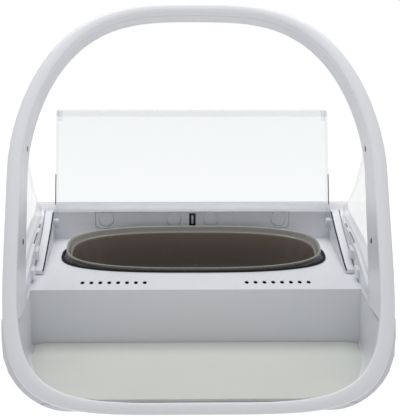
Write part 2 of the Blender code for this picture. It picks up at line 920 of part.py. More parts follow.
def make_bowl():
    outside = (
        (BOWL_FLOOR, 0.040, 0.0),
        (BOWL_FLOOR + 0.003, 0.022, 0.0),
        (BOWL_FLOOR + 0.012, 0.0095, 0.25),
        (BOWL_MID_Z - 0.0062, 0.0026, 1.0),
        (BOWL_MID_Z - 0.0050, 0.0014, 1.0),
        (BOWL_MID_Z - 0.0030, 0.0016, 1.0),
        (BOWL_MID_Z - 0.0014, 0.0002, 1.0),
        (BOWL_MID_Z - 0.0003, 0.0, 1.0),
        (BOWL_MID_Z, 0.0006, 1.0),
    )
    inside = (
        (BOWL_MID_Z - 0.0003, BOWL_WALL * 1.2, 1.0),
        (BOWL_MID_Z - 0.0040, BOWL_WALL * 2.0, 1.0),
        (BOWL_MID_Z - 0.0060, BOWL_WALL * 2.7, 0.9),
        (BOWL_FLOOR + 0.014, 0.0095 + BOWL_WALL, 0.25),
        (BOWL_FLOOR + 0.005, 0.022 + BOWL_WALL, 0.0),
        (BOWL_FLOOR + BOWL_WALL, 0.037, 0.0),
    )
    rings = []
    for z, shrink, share in outside + inside:
        rings.append(
            well_ring(
                z, BOWL_HALF_X - shrink, BOWL_HALF_Y - shrink * 0.72,
                tilt=BOWL_TILT * share, steps=44,
            )
        )
    return simple(
        "bowl", lambda mesh: add_loft(mesh, rings), color=(0.20, 0.19, 0.17, 1), rough=0.25
    )


def make_well_seal():
    low = DECK + GAP
    high = DECK + GAP + SEAL_HIGH
    outer = 0.0016
    inner = -0.0004
    rings = []
    for i in range(44):
        row = []
        for z, grow in ((low, outer), (low, inner), (high, inner), (high, outer)):
            row.append(
                well_ring(z, WELL_HALF_X + grow, WELL_HALF_Y + grow, steps=44)[i]
            )
        rings.append(row)
    return simple(
        "well_seal",
        lambda mesh: add_loft(mesh, rings, True),
        color=(0.03, 0.03, 0.03, 1),
        rough=0.6,
    )


def mat_half(y):
    s = (y - HOOP_FACE) * math.sin(LEAN) + SEAM * math.cos(LEAN)
    inside = body_half(y, SEAM, 0.0005, True)
    return min(inside, hoop_half(s, 1.0) - 0.0008, PLATFORM_HALF - 0.0019)


def make_mat():
    front = FRONT + HOOP_TRIM * math.cos(LEAN) + 0.0068
    back = DECK_FRONT - 0.0005
    rows = [(mat_half(y), y) for y in np.linspace(front, back - 0.0012, 22)]
    rows.append((mat_half(back) - 0.0012, back))
    rows += [(-x, y) for x, y in reversed(rows)]
    return simple(
        "mat",
        lambda mesh: add_prism(mesh, rows, 2, SEAM, SEAM + MAT_THICK),
        color=(0.56, 0.58, 0.55, 1),
        rough=0.6,
    )


# ---- Lid and its drive ----


def lid_place():
    """Turns a flat lid, drawn closed and level with the pivot at the origin, to its open place."""
    turn = math.pi / 2 + LID_LEAN
    return Matrix.Translation((0.0, PIVOT_Y, PIVOT_Z)) @ Matrix.Rotation(-turn, 4, "X")


def make_lid():
    """Clear plate with a thicker free edge, side flanges and a round arm at each end of its pivot."""
    half = LID_HALF
    low = -LID_THICK / 2
    high = LID_THICK / 2
    lid = simple(
        "lid_panel",
        lambda mesh: add_box(mesh, (-half, -LID_LONG, low), (half, -0.0030, high)),
        color=(0.85, 0.90, 0.93, 0.35),
        rough=0.05,
    )

    def edge(mesh):
        add_box(
            mesh,
            (-half, -LID_LONG - 0.0005, low - 0.0013),
            (half, -LID_LONG + LID_ROD, high + 0.0008),
        )

    join(lid, "lid_edge", edge)
    for side in (-1, 1):
        a, b = sorted((side * (half - 0.0021), side * (half + 0.0002)))

        def flange(mesh):
            rows = [(-LID_LONG + 0.001, high - 0.0003), (-0.0085, high + 0.0002)]
            rows += [(0.0046 * math.cos(a), 0.0046 * math.sin(a)) for a in np.linspace(2.2, -2.2, 13)]
            rows += [(-0.014, low - LID_FLANGE), (-LID_LONG + 0.001, low - LID_FLANGE + 0.0010)]
            add_prism(mesh, rows, 0, a, b)

        join(lid, f"lid_flange_{side}", flange)
        cut(
            lid,
            f"lid_bore_{side}",
            lambda mesh: add_rod(
                mesh, (side * (half - 0.004), 0.0, 0.0), (side * (half + 0.004), 0.0, 0.0),
                PIN_R + RUN, 24,
            ),
        )
    for step in lid.modifiers:
        step.object.matrix_world = lid_place()
    lid.matrix_world = lid_place()
    return lid


def make_pins():
    for side, word in ((-1, "left"), (1, "right")):
        reach = 0.1056 if side < 0 else GEAR_X + GEAR_WIDE + 0.0006
        simple(
            f"lid_pin_{word}",
            lambda mesh: add_rod(
                mesh,
                (side * (LID_HALF - 0.0024), PIVOT_Y, PIVOT_Z),
                (side * reach, PIVOT_Y, PIVOT_Z),
                PIN_R,
                24,
            ),
            color=(0.7, 0.7, 0.72, 1),
            metal=1.0,
        )


def gear_tip(teeth):
    return MODULE * (teeth / 2 + 0.80)


def gear_rows(teeth, turn, thin):
    """Outline of a gear with involute flanks; thin takes a little off each flank for backlash."""
    pitch = MODULE * teeth / 2
    base = pitch * math.cos(math.radians(20))
    tip = gear_tip(teeth)
    root = pitch - 1.10 * MODULE
    involute = math.tan(math.radians(20)) - math.radians(20)
    rows = []
    for i in range(teeth):
        middle = turn + 2 * math.pi * i / teeth
        flank = []
        for share in (0.0, 0.5, 1.0):
            radius = max(base, root) + (tip - max(base, root)) * share
            press = math.acos(base / radius)
            half = math.pi / (2 * teeth) + involute - (math.tan(press) - press) - thin / pitch
            flank.append((radius, half))
        foot = (root, flank[0][1])
        sides = [foot] + flank
        for radius, half in sides:
            rows.append((radius * math.cos(middle - half), radius * math.sin(middle - half)))
        for radius, half in reversed(sides):
            rows.append((radius * math.cos(middle + half), radius * math.sin(middle + half)))
    return rows


def pinion_centre():
    apart = MODULE * (GEAR_TEETH + PINION_TEETH) / 2 + 0.0001
    return (
        PIVOT_Y + apart * math.cos(PINION_ANGLE),
        PIVOT_Z + apart * math.sin(PINION_ANGLE),
    )


def make_gears():
    rows = gear_rows(GEAR_TEETH, PINION_ANGLE, GEAR_SPREAD)
    gear = simple(
        "lid_gear",
        lambda mesh: add_prism(
            mesh,
            [(PIVOT_Y + a, PIVOT_Z + b) for a, b in rows],
            0,
            GEAR_X,
            GEAR_X + GEAR_WIDE,
        ),
        color=(0.75, 0.75, 0.72, 1),
        smooth=False,
    )
    cut(
        gear,
        "gear_bore",
        lambda mesh: add_rod(
            mesh,
            (GEAR_X - 0.002, PIVOT_Y, PIVOT_Z),
            (GEAR_X + GEAR_WIDE + 0.002, PIVOT_Y, PIVOT_Z),
            PIN_R + RUN,
            24,
        ),
    )
    y, z = pinion_centre()
    turn = PINION_ANGLE + math.pi + math.pi / PINION_TEETH
    rows = gear_rows(PINION_TEETH, turn, GEAR_SPREAD)
    pinion = simple(
        "drive_pinion",
        lambda mesh: add_prism(
            mesh, [(y + a, z + b) for a, b in rows], 0, GEAR_X, GEAR_X + GEAR_WIDE
        ),
        color=(0.75, 0.75, 0.72, 1),
        smooth=False,
    )
    join(
        pinion,
        "pinion_shaft",
        lambda mesh: add_rod(mesh, (0.0985, y, z), (GEAR_X + 0.001, y, z), SHAFT_R, 20),
    )


def make_motor():
    y, z = pinion_centre()
    low = (0.0905, REAR_WALL + WALL + 0.0005, 0.0405)
    high = (0.1030, 0.0930, 0.0585)
    gearbox = simple(
        "gearbox", lambda mesh: add_box(mesh, low, high), color=(0.30, 0.31, 0.33, 1)
    )
    cut(
        gearbox,
        "gearbox_bore",
        lambda mesh: add_rod(mesh, (0.0975, y, z), (0.1060, y, z), SHAFT_R + RUN, 20),
    )
    simple(
        "motor",
        lambda mesh: add_rod(
            mesh, (0.0640, 0.0845, 0.0485), (0.0902, 0.0845, 0.0485), 0.0078, 28
        ),
        color=(0.6, 0.6, 0.62, 1),
        metal=1.0,
    )


# ---- Rails and guards ----


def rail_rows():
    rows = [(RAIL_FRONT, DECK + GAP), (REAR_WALL - 0.0003, DECK + GAP)]
    for a in np.linspace(-0.2, math.pi * 0.72, 9):
        rows.append(
            (
                min(PIVOT_Y + RAIL_BOSS * math.cos(a), REAR_WALL - 0.0003),
                PIVOT_Z + RAIL_BOSS * math.sin(a),
            )
        )
    rows += [(0.044, 0.0582), (0.012, 0.0510), (-0.012, 0.0462), (RAIL_FRONT, 0.0452)]
    seen = []
    for row in rows:
        if not seen or math.dist(row, seen[-1]) > 1e-5:
            seen.append(row)
    return seen


def make_rails():
    for side, word in ((-1, "left"), (1, "right")):
        a, b = sorted((side * RAIL_IN, side * RAIL_OUT))
        rail = simple(
            f"side_rail_{word}", lambda mesh: add_prism(mesh, rail_rows(), 0, a, b)
        )
        cut(
            rail,
            f"rail_bore_{word}",
            lambda mesh: add_rod(
                mesh, (side * 0.095, PIVOT_Y, PIVOT_Z), (side * 0.12, PIVOT_Y, PIVOT_Z),
                PIN_R + RUN, 24,
            ),
        )


def guard_rows():
    rows = []
    for high in np.linspace(0.056, 0.150, 6):
        y, z = hoop_rear(high)
        rows.append((y + 0.0022, z))
    top_y, top_z = rows[-1]
    end_z = profile_height(GUARD_BACK) + GAP * 2
    for share in (0.25, 0.5, 0.75, 1.0):
        bow = 0.010 * math.sin(share * math.pi)
        rows.append(
            (
                top_y + (GUARD_BACK - top_y) * share,
                top_z + (end_z + 0.006 - top_z) * share - bow,
            )
        )
    lower = [(y, z) for y, z in side_profile(GAP * 2) if rows[0][0] < y < GUARD_BACK]
    rows.append((GUARD_BACK, end_z))
    rows += reversed(lower)
    rows.append((rows[0][0] + 0.0004, profile_height(rows[0][0]) + GAP * 2))
    return rows


def profile_height(y):
    ys, zs = zip(*side_profile(0.0))
    return float(np.interp(y, ys, zs))


def make_guards():
    for side, word in ((-1, "left"), (1, "right")):
        a, b = sorted((side * GUARD_IN, side * (GUARD_IN + GUARD_THICK)))
        simple(
            f"side_guard_{word}",
            lambda mesh: add_prism(mesh, guard_rows(), 0, a, b),
            color=(0.85, 0.90, 0.93, 0.35),
            rough=0.05,
        )


# ---- Power ----


def make_cells():
    for side, word in ((-1, "left"), (1, "right")):
        for row, y in zip(("front", "rear"), CELL_ROWS):
            start = side * CELL_IN
            end = side * (CELL_IN + CELL_LONG - 0.0018)
            cell = simple(
                f"cell_{word}_{row}",
                lambda mesh: add_rod(mesh, (start, y, CELL_Z), (end, y, CELL_Z), CELL_R, 28),
                color=(0.15, 0.16, 0.18, 1),
                metal=0.6,
            )
            join(
                cell,
                f"cell_nub_{word}_{row}",
                lambda mesh: add_rod(
                    mesh, (end - side * 0.001, y, CELL_Z), (end + side * 0.0018, y, CELL_Z),
                    0.0031, 16,
                ),
            )
        for place, x in (("inner", CELL_IN - 0.0011), ("outer", CELL_IN + CELL_LONG + 0.0005)):
            c, d = sorted((side * x, side * (x + 0.0006)))
            simple(
                f"contact_{word}_{place}",
                lambda mesh: add_box(
                    mesh, (c, CELL_ROWS[0] - 0.009, CELL_Z - 0.008),
                    (d, CELL_ROWS[1] + 0.009, CELL_Z + 0.008),
                ),
                color=(0.75, 0.72, 0.60, 1),
                metal=1.0,
            )
        a, b = sorted((side * COVER_IN, side * COVER_OUT))
        simple(
            f"battery_cover_{word}",
            lambda mesh: add_box(
                mesh, (a, COVER_FRONT, 0.0012), (b, COVER_BACK, 0.0012 + COVER_HIGH)
            ),
        )


def make_small():
    simple(
        "buzzer",
        lambda mesh: add_rod(
            mesh, (0.0535, -0.0370, 0.0300), (0.0535, -0.0370, 0.0375), 0.0075, 28
        ),
        color=(0.05, 0.05, 0.05, 1),
    )
    for i, (x, y) in enumerate(FEET, 1):
        simple(
            f"foot_{i}",
            lambda mesh: add_rod(mesh, (x, y, 0.0), (x, y, FOOT_HIGH), FOOT_R, 24),
            color=(0.10, 0.10, 0.10, 1),
            rough=0.8,
        )


def main():
    clear_scene()
    make_hoop_trim()
    make_antenna()
    make_hoop_band()
    make_windows()
    make_base_tray()
    make_upper_housing()
    make_vent_screens()
    make_wall_plate()
    make_control_panel()
    make_screws()
    make_bowl()
    make_well_seal()
    make_mat()
    make_lid()
    make_pins()
    make_gears()
    make_motor()
    make_rails()
    make_guards()
    make_cells()
    make_small()


main()
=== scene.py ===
"""Looks of the automatic pet feeder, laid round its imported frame.

Metres, +Z up, +Y towards the back, +X to the right seen from the hoop. Every piece keeps
its place in its mesh, so its object sits at the origin.
"""

import json
import math

import bmesh
import bpy
import numpy as np
from mathutils import Matrix, Vector

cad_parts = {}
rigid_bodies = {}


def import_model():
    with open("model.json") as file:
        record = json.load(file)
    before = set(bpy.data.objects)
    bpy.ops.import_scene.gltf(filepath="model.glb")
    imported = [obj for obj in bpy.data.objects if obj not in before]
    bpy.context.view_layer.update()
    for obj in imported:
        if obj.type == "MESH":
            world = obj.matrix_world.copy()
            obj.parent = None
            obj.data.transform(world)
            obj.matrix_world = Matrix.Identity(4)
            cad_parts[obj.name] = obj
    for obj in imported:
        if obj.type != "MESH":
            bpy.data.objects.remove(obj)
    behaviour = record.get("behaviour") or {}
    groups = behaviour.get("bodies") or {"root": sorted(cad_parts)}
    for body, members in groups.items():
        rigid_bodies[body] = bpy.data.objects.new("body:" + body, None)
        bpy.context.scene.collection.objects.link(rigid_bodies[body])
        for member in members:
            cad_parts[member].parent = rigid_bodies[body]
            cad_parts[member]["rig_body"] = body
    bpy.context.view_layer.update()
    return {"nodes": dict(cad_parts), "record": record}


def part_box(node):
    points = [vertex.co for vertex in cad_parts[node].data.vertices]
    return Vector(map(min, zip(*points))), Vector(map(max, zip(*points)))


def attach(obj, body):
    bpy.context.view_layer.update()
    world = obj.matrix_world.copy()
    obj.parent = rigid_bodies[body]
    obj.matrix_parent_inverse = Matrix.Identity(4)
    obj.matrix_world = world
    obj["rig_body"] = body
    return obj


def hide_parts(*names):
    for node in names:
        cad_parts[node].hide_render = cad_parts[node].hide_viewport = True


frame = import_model()

bl_info = {
    "name": "Pet Feeder Looks",
    "version": (1, 0, 0),
    "blender": (4, 5, 0),
    "location": "View3D > Sidebar > Pet Feeder",
    "description": "Builds the visible pieces and finishes of a hooped pet feeder",
    "category": "Object",
}

WIDTH = 0.230
HEIGHT = 0.220
FRONT = -0.1635
UNDER = 0.0012
GAP = 0.0003

LEAN = math.radians(34.0)
HOOP_FACE = FRONT - UNDER * math.tan(LEAN)
HOOP_WAIST = 0.126
FACE_TOP = 0.0058
FACE_SIDE = 0.0085
FACE_FOOT = 0.0078
TRIM_DEPTH = 0.006
DEPTH_TOP = 0.0145
DEPTH_FOOT = 0.050
TOP_POWERS = (3.17, 1.78)
FOOT_POWERS = (4.5, 6.4)
BAND_CUT = 0.0458
INNER_SHARE = 0.75
BAND_SWELL = 0.176

BOWL_Y = 0.0262
BOWL_HALF = (0.0885, 0.0385)
BOWL_MID = 0.0490
BOWL_TILT = math.radians(7.3)
BOWL_FLOOR = 0.0135
BOWL_WALL = 0.0020
BOWL_POWER = 2.75
WELL_HALF = (0.0902, 0.0413)
DECK = 0.042
REAR_TOP = 0.068

PIVOT = (0.066, 0.0565)
LID_HALF = 0.0993
LID_LONG = 0.0827
LID_THICK = 0.0022
LID_LEAN = math.radians(22.7)
LID_FLANGE = 0.0032
LID_ROD = 0.0045

# Span along the lid of the painted dark reflections on its flanges.
LID_REFLECTION_SPAN = (0.0125, 0.0350)
LID_EDGE_CLOSED = 0.20
LID_FLANGE_CLOSED = 0.14
LID_GUSSET_CLOSED = 0.08
GUARD_EDGE_CLOSED = 0.22

SEAM = 0.0050
MAT_THICK = 0.0018
# How far back the painted shadow lines on the rails reach.
PAINTED_SHADOW_BACK = 0.0632
WINDOW_R = 0.0019
WINDOW_PROUD = 0.00025
WINDOW_SUNK = 0.0006
WINDOW_SHARES = (0.1, 0.75)

DECK_FRONT = -0.0546
SIDE_INNER = 0.1045
SHELL_LOW = 0.03
SHORT_EDGE = 0.0015

SHARP_ANGLE = math.radians(38.0)
SHARP_SOFTENED = math.radians(52.0)
END_STEPS = 4
OVAL_STEPS = 200

FLOOR_REACH = 14.0
FLOOR_TONE = 0.15
FLOOR_GLOW = 0.93
WORLD_GLOW = 0.33
CAMERA_PLACE = (-0.019, -0.8395, 0.283)
CAMERA_YAW = math.radians(1.54)
CAMERA_PITCH = math.radians(13.5)
CAMERA_ROLL = math.radians(0.25)
SENSOR = 36.0
LENS = 110.491647


class FeederSizes(bpy.types.PropertyGroup):
    hoop_edge: bpy.props.FloatProperty(
        name="Hoop edge",
        description="Radius of the hoop's outer edges",
        default=0.0016,
        min=0.0002,
        max=0.003,
        subtype="DISTANCE",
        unit="LENGTH",
    )
    shell_edge: bpy.props.FloatProperty(
        name="Shell edge",
        description="Radius on the corners of the moulded shells",
        default=0.0007,
        min=0.0001,
        max=0.002,
        subtype="DISTANCE",
        unit="LENGTH",
    )
    small_edge: bpy.props.FloatProperty(
        name="Small edge",
        description="Radius on the corners of small pieces",
        default=0.00025,
        min=0.00005,
        max=0.001,
        subtype="DISTANCE",
        unit="LENGTH",
    )
    mat_edge: bpy.props.FloatProperty(
        name="Mat edge",
        description="Radius of the mat's rounded rim",
        default=0.0008,
        min=0.0001,
        max=0.0009,
        subtype="DISTANCE",
        unit="LENGTH",
    )
    hoop_steps: bpy.props.IntProperty(
        name="Hoop steps",
        description="Steps round the hoop",
        default=288,
        min=48,
        max=600,
    )


def colour_property(name, description, default):
    """A colour that the panel can change."""
    return bpy.props.FloatVectorProperty(
        name=name, description=description, default=default, size=3, min=0, max=1, subtype="COLOR"
    )


class FeederColours(bpy.types.PropertyGroup):
    shell: colour_property("Shell", "White moulded plastic", (0.80, 0.81, 0.85))
    panel: colour_property("Panel", "Pale grey control panel", (0.62, 0.63, 0.66))
    button: colour_property("Buttons", "Grey button caps", (0.26, 0.28, 0.31))
    bowl: colour_property("Bowl rim", "Taupe rim of the bowl", (0.285, 0.277, 0.252))
    # Painted shade: the inside of the bowl is coloured darker than its rim to stand for the shade
    # inside it.
    bowl_inside_shade: colour_property("Bowl inside", "Darker inside of the bowl", (0.078, 0.058, 0.044))
    mat: colour_property("Mat", "Grey-green mat", (0.62, 0.64, 0.60))
    clear: colour_property("Clear plastic", "Tint of the lid and the guards", (0.20, 0.38, 0.48))
    seal: colour_property("Seal", "Black seal round the well", (0.012, 0.012, 0.013))
    foot: colour_property("Feet", "Dark rubber feet", (0.05, 0.05, 0.052))
    window: colour_property("Windows", "Dark filter plastic", (0.012, 0.010, 0.014))
    steel: colour_property("Steel", "Pins and screws", (0.55, 0.55, 0.57))
    coil: colour_property("Coil", "Enamelled winding", (0.50, 0.20, 0.08))
    board: colour_property("Board", "Green lacquered board", (0.02, 0.13, 0.05))
    light: colour_property("Light", "Green lens", (0.06, 0.42, 0.12))


# ---- Meshes ----


def closed_volume(points, faces):
    """Signed volume: a sixth of the sum, over the triangles, of their corners' triple product."""
    corners = points[faces]
    return float(np.einsum("ij,ij->i", corners[:, 0], np.cross(corners[:, 1], corners[:, 2])).sum())


def piece_from(name, parts, body, material, replaces=(), rims=()):
    """Makes one object from closed shells, each given as its points and its quads or triangles.

    rims says, shell by shell, how far clear plastic closes up there.
    """
    points, faces, start = [], [], 0
    counts = [sum(len(rows) for rows in shell_faces) for _, shell_faces in parts]
    for shell_points, shell_faces in parts:
        triangles = np.concatenate(
            [rows[:, [0, i, i + 1]] for rows in shell_faces for i in range(1, rows.shape[1] - 1)]
        )
        flip = closed_volume(shell_points, triangles) < 0
        for rows in shell_faces:
            rows = rows[:, ::-1] if flip else rows
            faces.extend((rows + start).tolist())
        points.append(shell_points)
        start += len(shell_points)
    mesh = bpy.data.meshes.new(name)
    mesh.from_pydata(np.concatenate(points).tolist(), [], faces)
    if rims:
        closed = mesh.attributes.new("rim", "FLOAT", "FACE")
        closed.data.foreach_set("value", np.repeat(rims, counts).astype(np.float32))
    piece = bpy.data.objects.new(name, mesh)
    bpy.context.scene.collection.objects.link(piece)
    mesh.materials.append(material)
    mesh.shade_smooth()
    mesh.set_sharp_from_angle(angle=SHARP_ANGLE)
    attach(piece, body)
    if replaces:
        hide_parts(*replaces)
    return piece


def grid_shell(grid, loop=False):
    """Closed shell from a grid of rings: each ring closes on itself.

    The rings are joined in order, and either the last meets the first or both ends are closed by
    a fan of triangles about the middle of the ring.
    """
    rings, around, _ = grid.shape
    index = np.arange(rings * around).reshape(rings, around)
    after = np.roll(index, -1, axis=1)
    if loop:
        below = np.roll(index, -1, axis=0)
        below_after = np.roll(after, -1, axis=0)
        quads = np.stack([index, after, below_after, below], axis=-1).reshape(-1, 4)
        return grid.reshape(-1, 3), [quads]
    quads = np.stack([index[:-1], after[:-1], after[1:], index[1:]], axis=-1).reshape(-1, 4)
    points = np.concatenate([grid.reshape(-1, 3), grid[:1].mean(axis=1), grid[-1:].mean(axis=1)])
    first = np.full(around, rings * around)
    last = first + 1
    near = np.stack([after[0], index[0], first], axis=-1)
    far = np.stack([index[-1], after[-1], last], axis=-1)
    return points, [quads, np.concatenate([near, far])]


def corner_cut(rows, times=2, closed=False):
    """Rounds a line of points by cutting its corners: each side keeps its middle half."""
    rows = np.asarray(rows, float)
    for _ in range(times):
        nexts = np.roll(rows, -1, axis=0) if closed else rows[1:]
        heads = rows if closed else rows[:-1]
        cut = np.stack([0.75 * heads + 0.25 * nexts, 0.25 * heads + 0.75 * nexts], axis=1)
        cut = cut.reshape(-1, rows.shape[1])
        rows = cut if closed else np.concatenate([rows[:1], cut, rows[-1:]])
    return rows


def carried(outline, axis, stations, edge=0.0):
    """Flat closed outline carried along one axis, its end rims rounded.

    A quarter circle of the given edge radius draws each end in towards the outline's middle.
    """
    outline = np.asarray(outline, float)
    middle = (outline.max(axis=0) + outline.min(axis=0)) / 2
    half = np.maximum((outline.max(axis=0) - outline.min(axis=0)) / 2, 1e-6)
    low, high = stations
    turn = np.linspace(0.0, math.pi / 2, END_STEPS)
    inward = edge * (1 - np.sin(turn))
    ahead = edge * (1 - np.cos(turn))
    along = np.concatenate([low + ahead, (high - ahead)[::-1]])
    pull = np.concatenate([inward, inward[::-1]])
    scale = 1 - pull[:, None] / half[None, :]
    flat = middle + (outline[None] - middle) * scale[:, None, :]
    level = np.broadcast_to(along[:, None, None], flat.shape[:2] + (1,))
    return grid_shell(np.concatenate([flat[..., :axis], level, flat[..., axis:]], axis=-1))


def sharp_edges(mesh, angle):
    """Which edges bend more than the angle, with each edge's middle and length.

    The bend is the angle between the normals of the two faces that meet at the edge.
    """
    count = len(mesh.edges)
    loops = len(mesh.loops)
    edge_of = np.empty(loops, np.int32)
    mesh.loops.foreach_get("edge_index", edge_of)
    sizes = np.empty(len(mesh.polygons), np.int32)
    mesh.polygons.foreach_get("loop_total", sizes)
    normals = np.empty(len(mesh.polygons) * 3, np.float32)
    mesh.polygons.foreach_get("normal", normals)
    of_loop = np.repeat(normals.reshape(-1, 3), sizes, axis=0)
    order = np.argsort(edge_of, kind="stable")
    starts = np.searchsorted(edge_of[order], np.arange(count))
    first = of_loop[order[starts]]
    second = of_loop[order[np.minimum(starts + 1, loops - 1)]]
    bend = np.einsum("ij,ij->i", first, second)
    ends = np.empty(count * 2, np.int32)
    mesh.edges.foreach_get("vertices", ends)
    points = np.empty(len(mesh.vertices) * 3, np.float32)
    mesh.vertices.foreach_get("co", points)
    pair = points.reshape(-1, 3)[ends.reshape(-1, 2)]
    long = np.linalg.norm(pair[:, 0] - pair[:, 1], axis=1)
    return bend < math.cos(math.radians(angle)), pair.mean(axis=1), long


def softened(node, material, width, angle=35.0, choose=None, rim=0.0):
    """Stands for a moulded CAD solid: its own mesh, welded, with its sharp corners rounded.

    choose(middle, length) may leave some of the sharp edges as they are. On clear plastic, rim
    says how far the narrow faces that look up, forward or back close up.
    """
    source = frame["nodes"][node]
    mesh = source.data.copy()
    mesh.name = f"{node}_moulded"
    piece = bpy.data.objects.new(mesh.name, mesh)
    bpy.context.scene.collection.objects.link(piece)
    weld(mesh)
    mesh.materials.clear()
    mesh.materials.append(material)
    sharp, middle, long = sharp_edges(mesh, angle)
    if choose:
        sharp &= choose(middle, long)
    if rim:
        normals = np.empty(len(mesh.polygons) * 3, np.float32)
        mesh.polygons.foreach_get("normal", normals)
        narrow = np.abs(normals.reshape(-1, 3)[:, 0]) < 0.7
        closed = mesh.attributes.new("rim", "FLOAT", "FACE")
        closed.data.foreach_set("value", (narrow * rim).astype(np.float32))
    weights = mesh.attributes.new("bevel_weight_edge", "FLOAT", "EDGE")
    weights.data.foreach_set("value", sharp.astype(np.float32))
    bevel = piece.modifiers.new("soft_corners", "BEVEL")
    bevel.width = width
    bevel.segments = 2
    bevel.limit_method = "WEIGHT"
    bevel.use_clamp_overlap = True
    bevel.miter_outer = "MITER_ARC"
    mesh.shade_smooth()
    mesh.set_sharp_from_angle(angle=SHARP_SOFTENED)
    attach(piece, source["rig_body"])
    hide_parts(node)
    return piece


def weld(mesh):
    """Joins loose triangles into one skin and drops the edges inside flat faces."""
    skin = bmesh.new()
    skin.from_mesh(mesh)
    bmesh.ops.remove_doubles(skin, verts=skin.verts[:], dist=2e-6)
    bmesh.ops.dissolve_degenerate(skin, dist=1e-6, edges=skin.edges[:])
    bmesh.ops.dissolve_limit(
        skin, angle_limit=math.radians(0.8), verts=skin.verts[:], edges=skin.edges[:]
    )
    skin.to_mesh(mesh)
    skin.free()
    if "custom_normal" in mesh.attributes:
        mesh.attributes.remove(mesh.attributes["custom_normal"])


# ---- Finishes ----


def node_in(tree, kind, place, **values):
    """Adds one shader node at a place, with its settings."""
    made = tree.nodes.new(kind)
    made.location = place
    for key, value in values.items():
        setattr(made, key, value)
    return made


def surface_noise(tree, scale, detail, stretch=(1.0, 1.0, 1.0), row=0):
    """Noise laid on the piece's own coordinates."""
    place = node_in(tree, "ShaderNodeTexCoord", (-1100, row))
    mapping = node_in(tree, "ShaderNodeMapping", (-900, row))
    mapping.inputs["Scale"].default_value = stretch
    noise = node_in(tree, "ShaderNodeTexNoise", (-700, row))
    noise.inputs["Scale"].default_value = scale
    noise.inputs["Detail"].default_value = detail
    noise.inputs["Roughness"].default_value = 0.55
    tree.links.new(place.outputs["Object"], mapping.inputs["Vector"])
    tree.links.new(mapping.outputs["Vector"], noise.inputs["Vector"])
    return noise.outputs["Fac"]


def ranged(tree, source, low, high, place):
    """Spreads the middle of a noise's range from low to high."""
    mapped = node_in(tree, "ShaderNodeMapRange", place)
    mapped.inputs["From Min"].default_value = 0.3
    mapped.inputs["From Max"].default_value = 0.7
    mapped.inputs["To Min"].default_value = low
    mapped.inputs["To Max"].default_value = high
    tree.links.new(source, mapped.inputs["Value"])
    return mapped.outputs["Result"]


def plain_shader(name):
    """A fresh material of that name, with its tree and its shader."""
    made = bpy.data.materials.get(name)
    if made:
        bpy.data.materials.remove(made)
    made = bpy.data.materials.new(name)
    made.use_nodes = True
    tree = made.node_tree
    return made, tree, tree.nodes["Principled BSDF"]


def moulded(name, colour, rough, grain=900.0, depth=0.00002, vary=0.03, coat=0.0, metal=0.0,
            stretch=(1.0, 1.0, 1.0), spread=0.06, shine=0.5):
    """Finish with a fine surface grain, a slow drift of tone and uneven gloss.

    Broad noise mixes two close tones, middling noise moves the roughness, and fine noise raises
    the grain.
    """
    made, tree, shader = plain_shader(name)
    shader.inputs["Metallic"].default_value = metal
    shader.inputs["Specular IOR Level"].default_value = shine
    shader.inputs["Coat Weight"].default_value = coat
    shader.inputs["Coat Roughness"].default_value = 0.08
    tone = surface_noise(tree, 14.0, 2.0, row=300)
    mix = node_in(tree, "ShaderNodeMix", (-400, 300), data_type="RGBA")
    mix.inputs["A"].default_value = (*[c * (1 - vary) for c in colour], 1.0)
    mix.inputs["B"].default_value = (*[min(c * (1 + vary), 1.0) for c in colour], 1.0)
    tree.links.new(tone, mix.inputs["Factor"])
    tree.links.new(mix.outputs["Result"], shader.inputs["Base Color"])
    gloss = surface_noise(tree, 60.0, 3.0, stretch, row=0)
    tree.links.new(
        ranged(tree, gloss, max(rough - spread, 0.02), min(rough + spread, 1.0), (-450, 0)),
        shader.inputs["Roughness"],
    )
    fine = surface_noise(tree, grain, 2.0, stretch, row=-300)
    bump = node_in(tree, "ShaderNodeBump", (-400, -300))
    bump.inputs["Strength"].default_value = 1.0
    bump.inputs["Distance"].default_value = depth
    tree.links.new(fine, bump.inputs["Height"])
    tree.links.new(bump.outputs["Normal"], shader.inputs["Normal"])
    return made


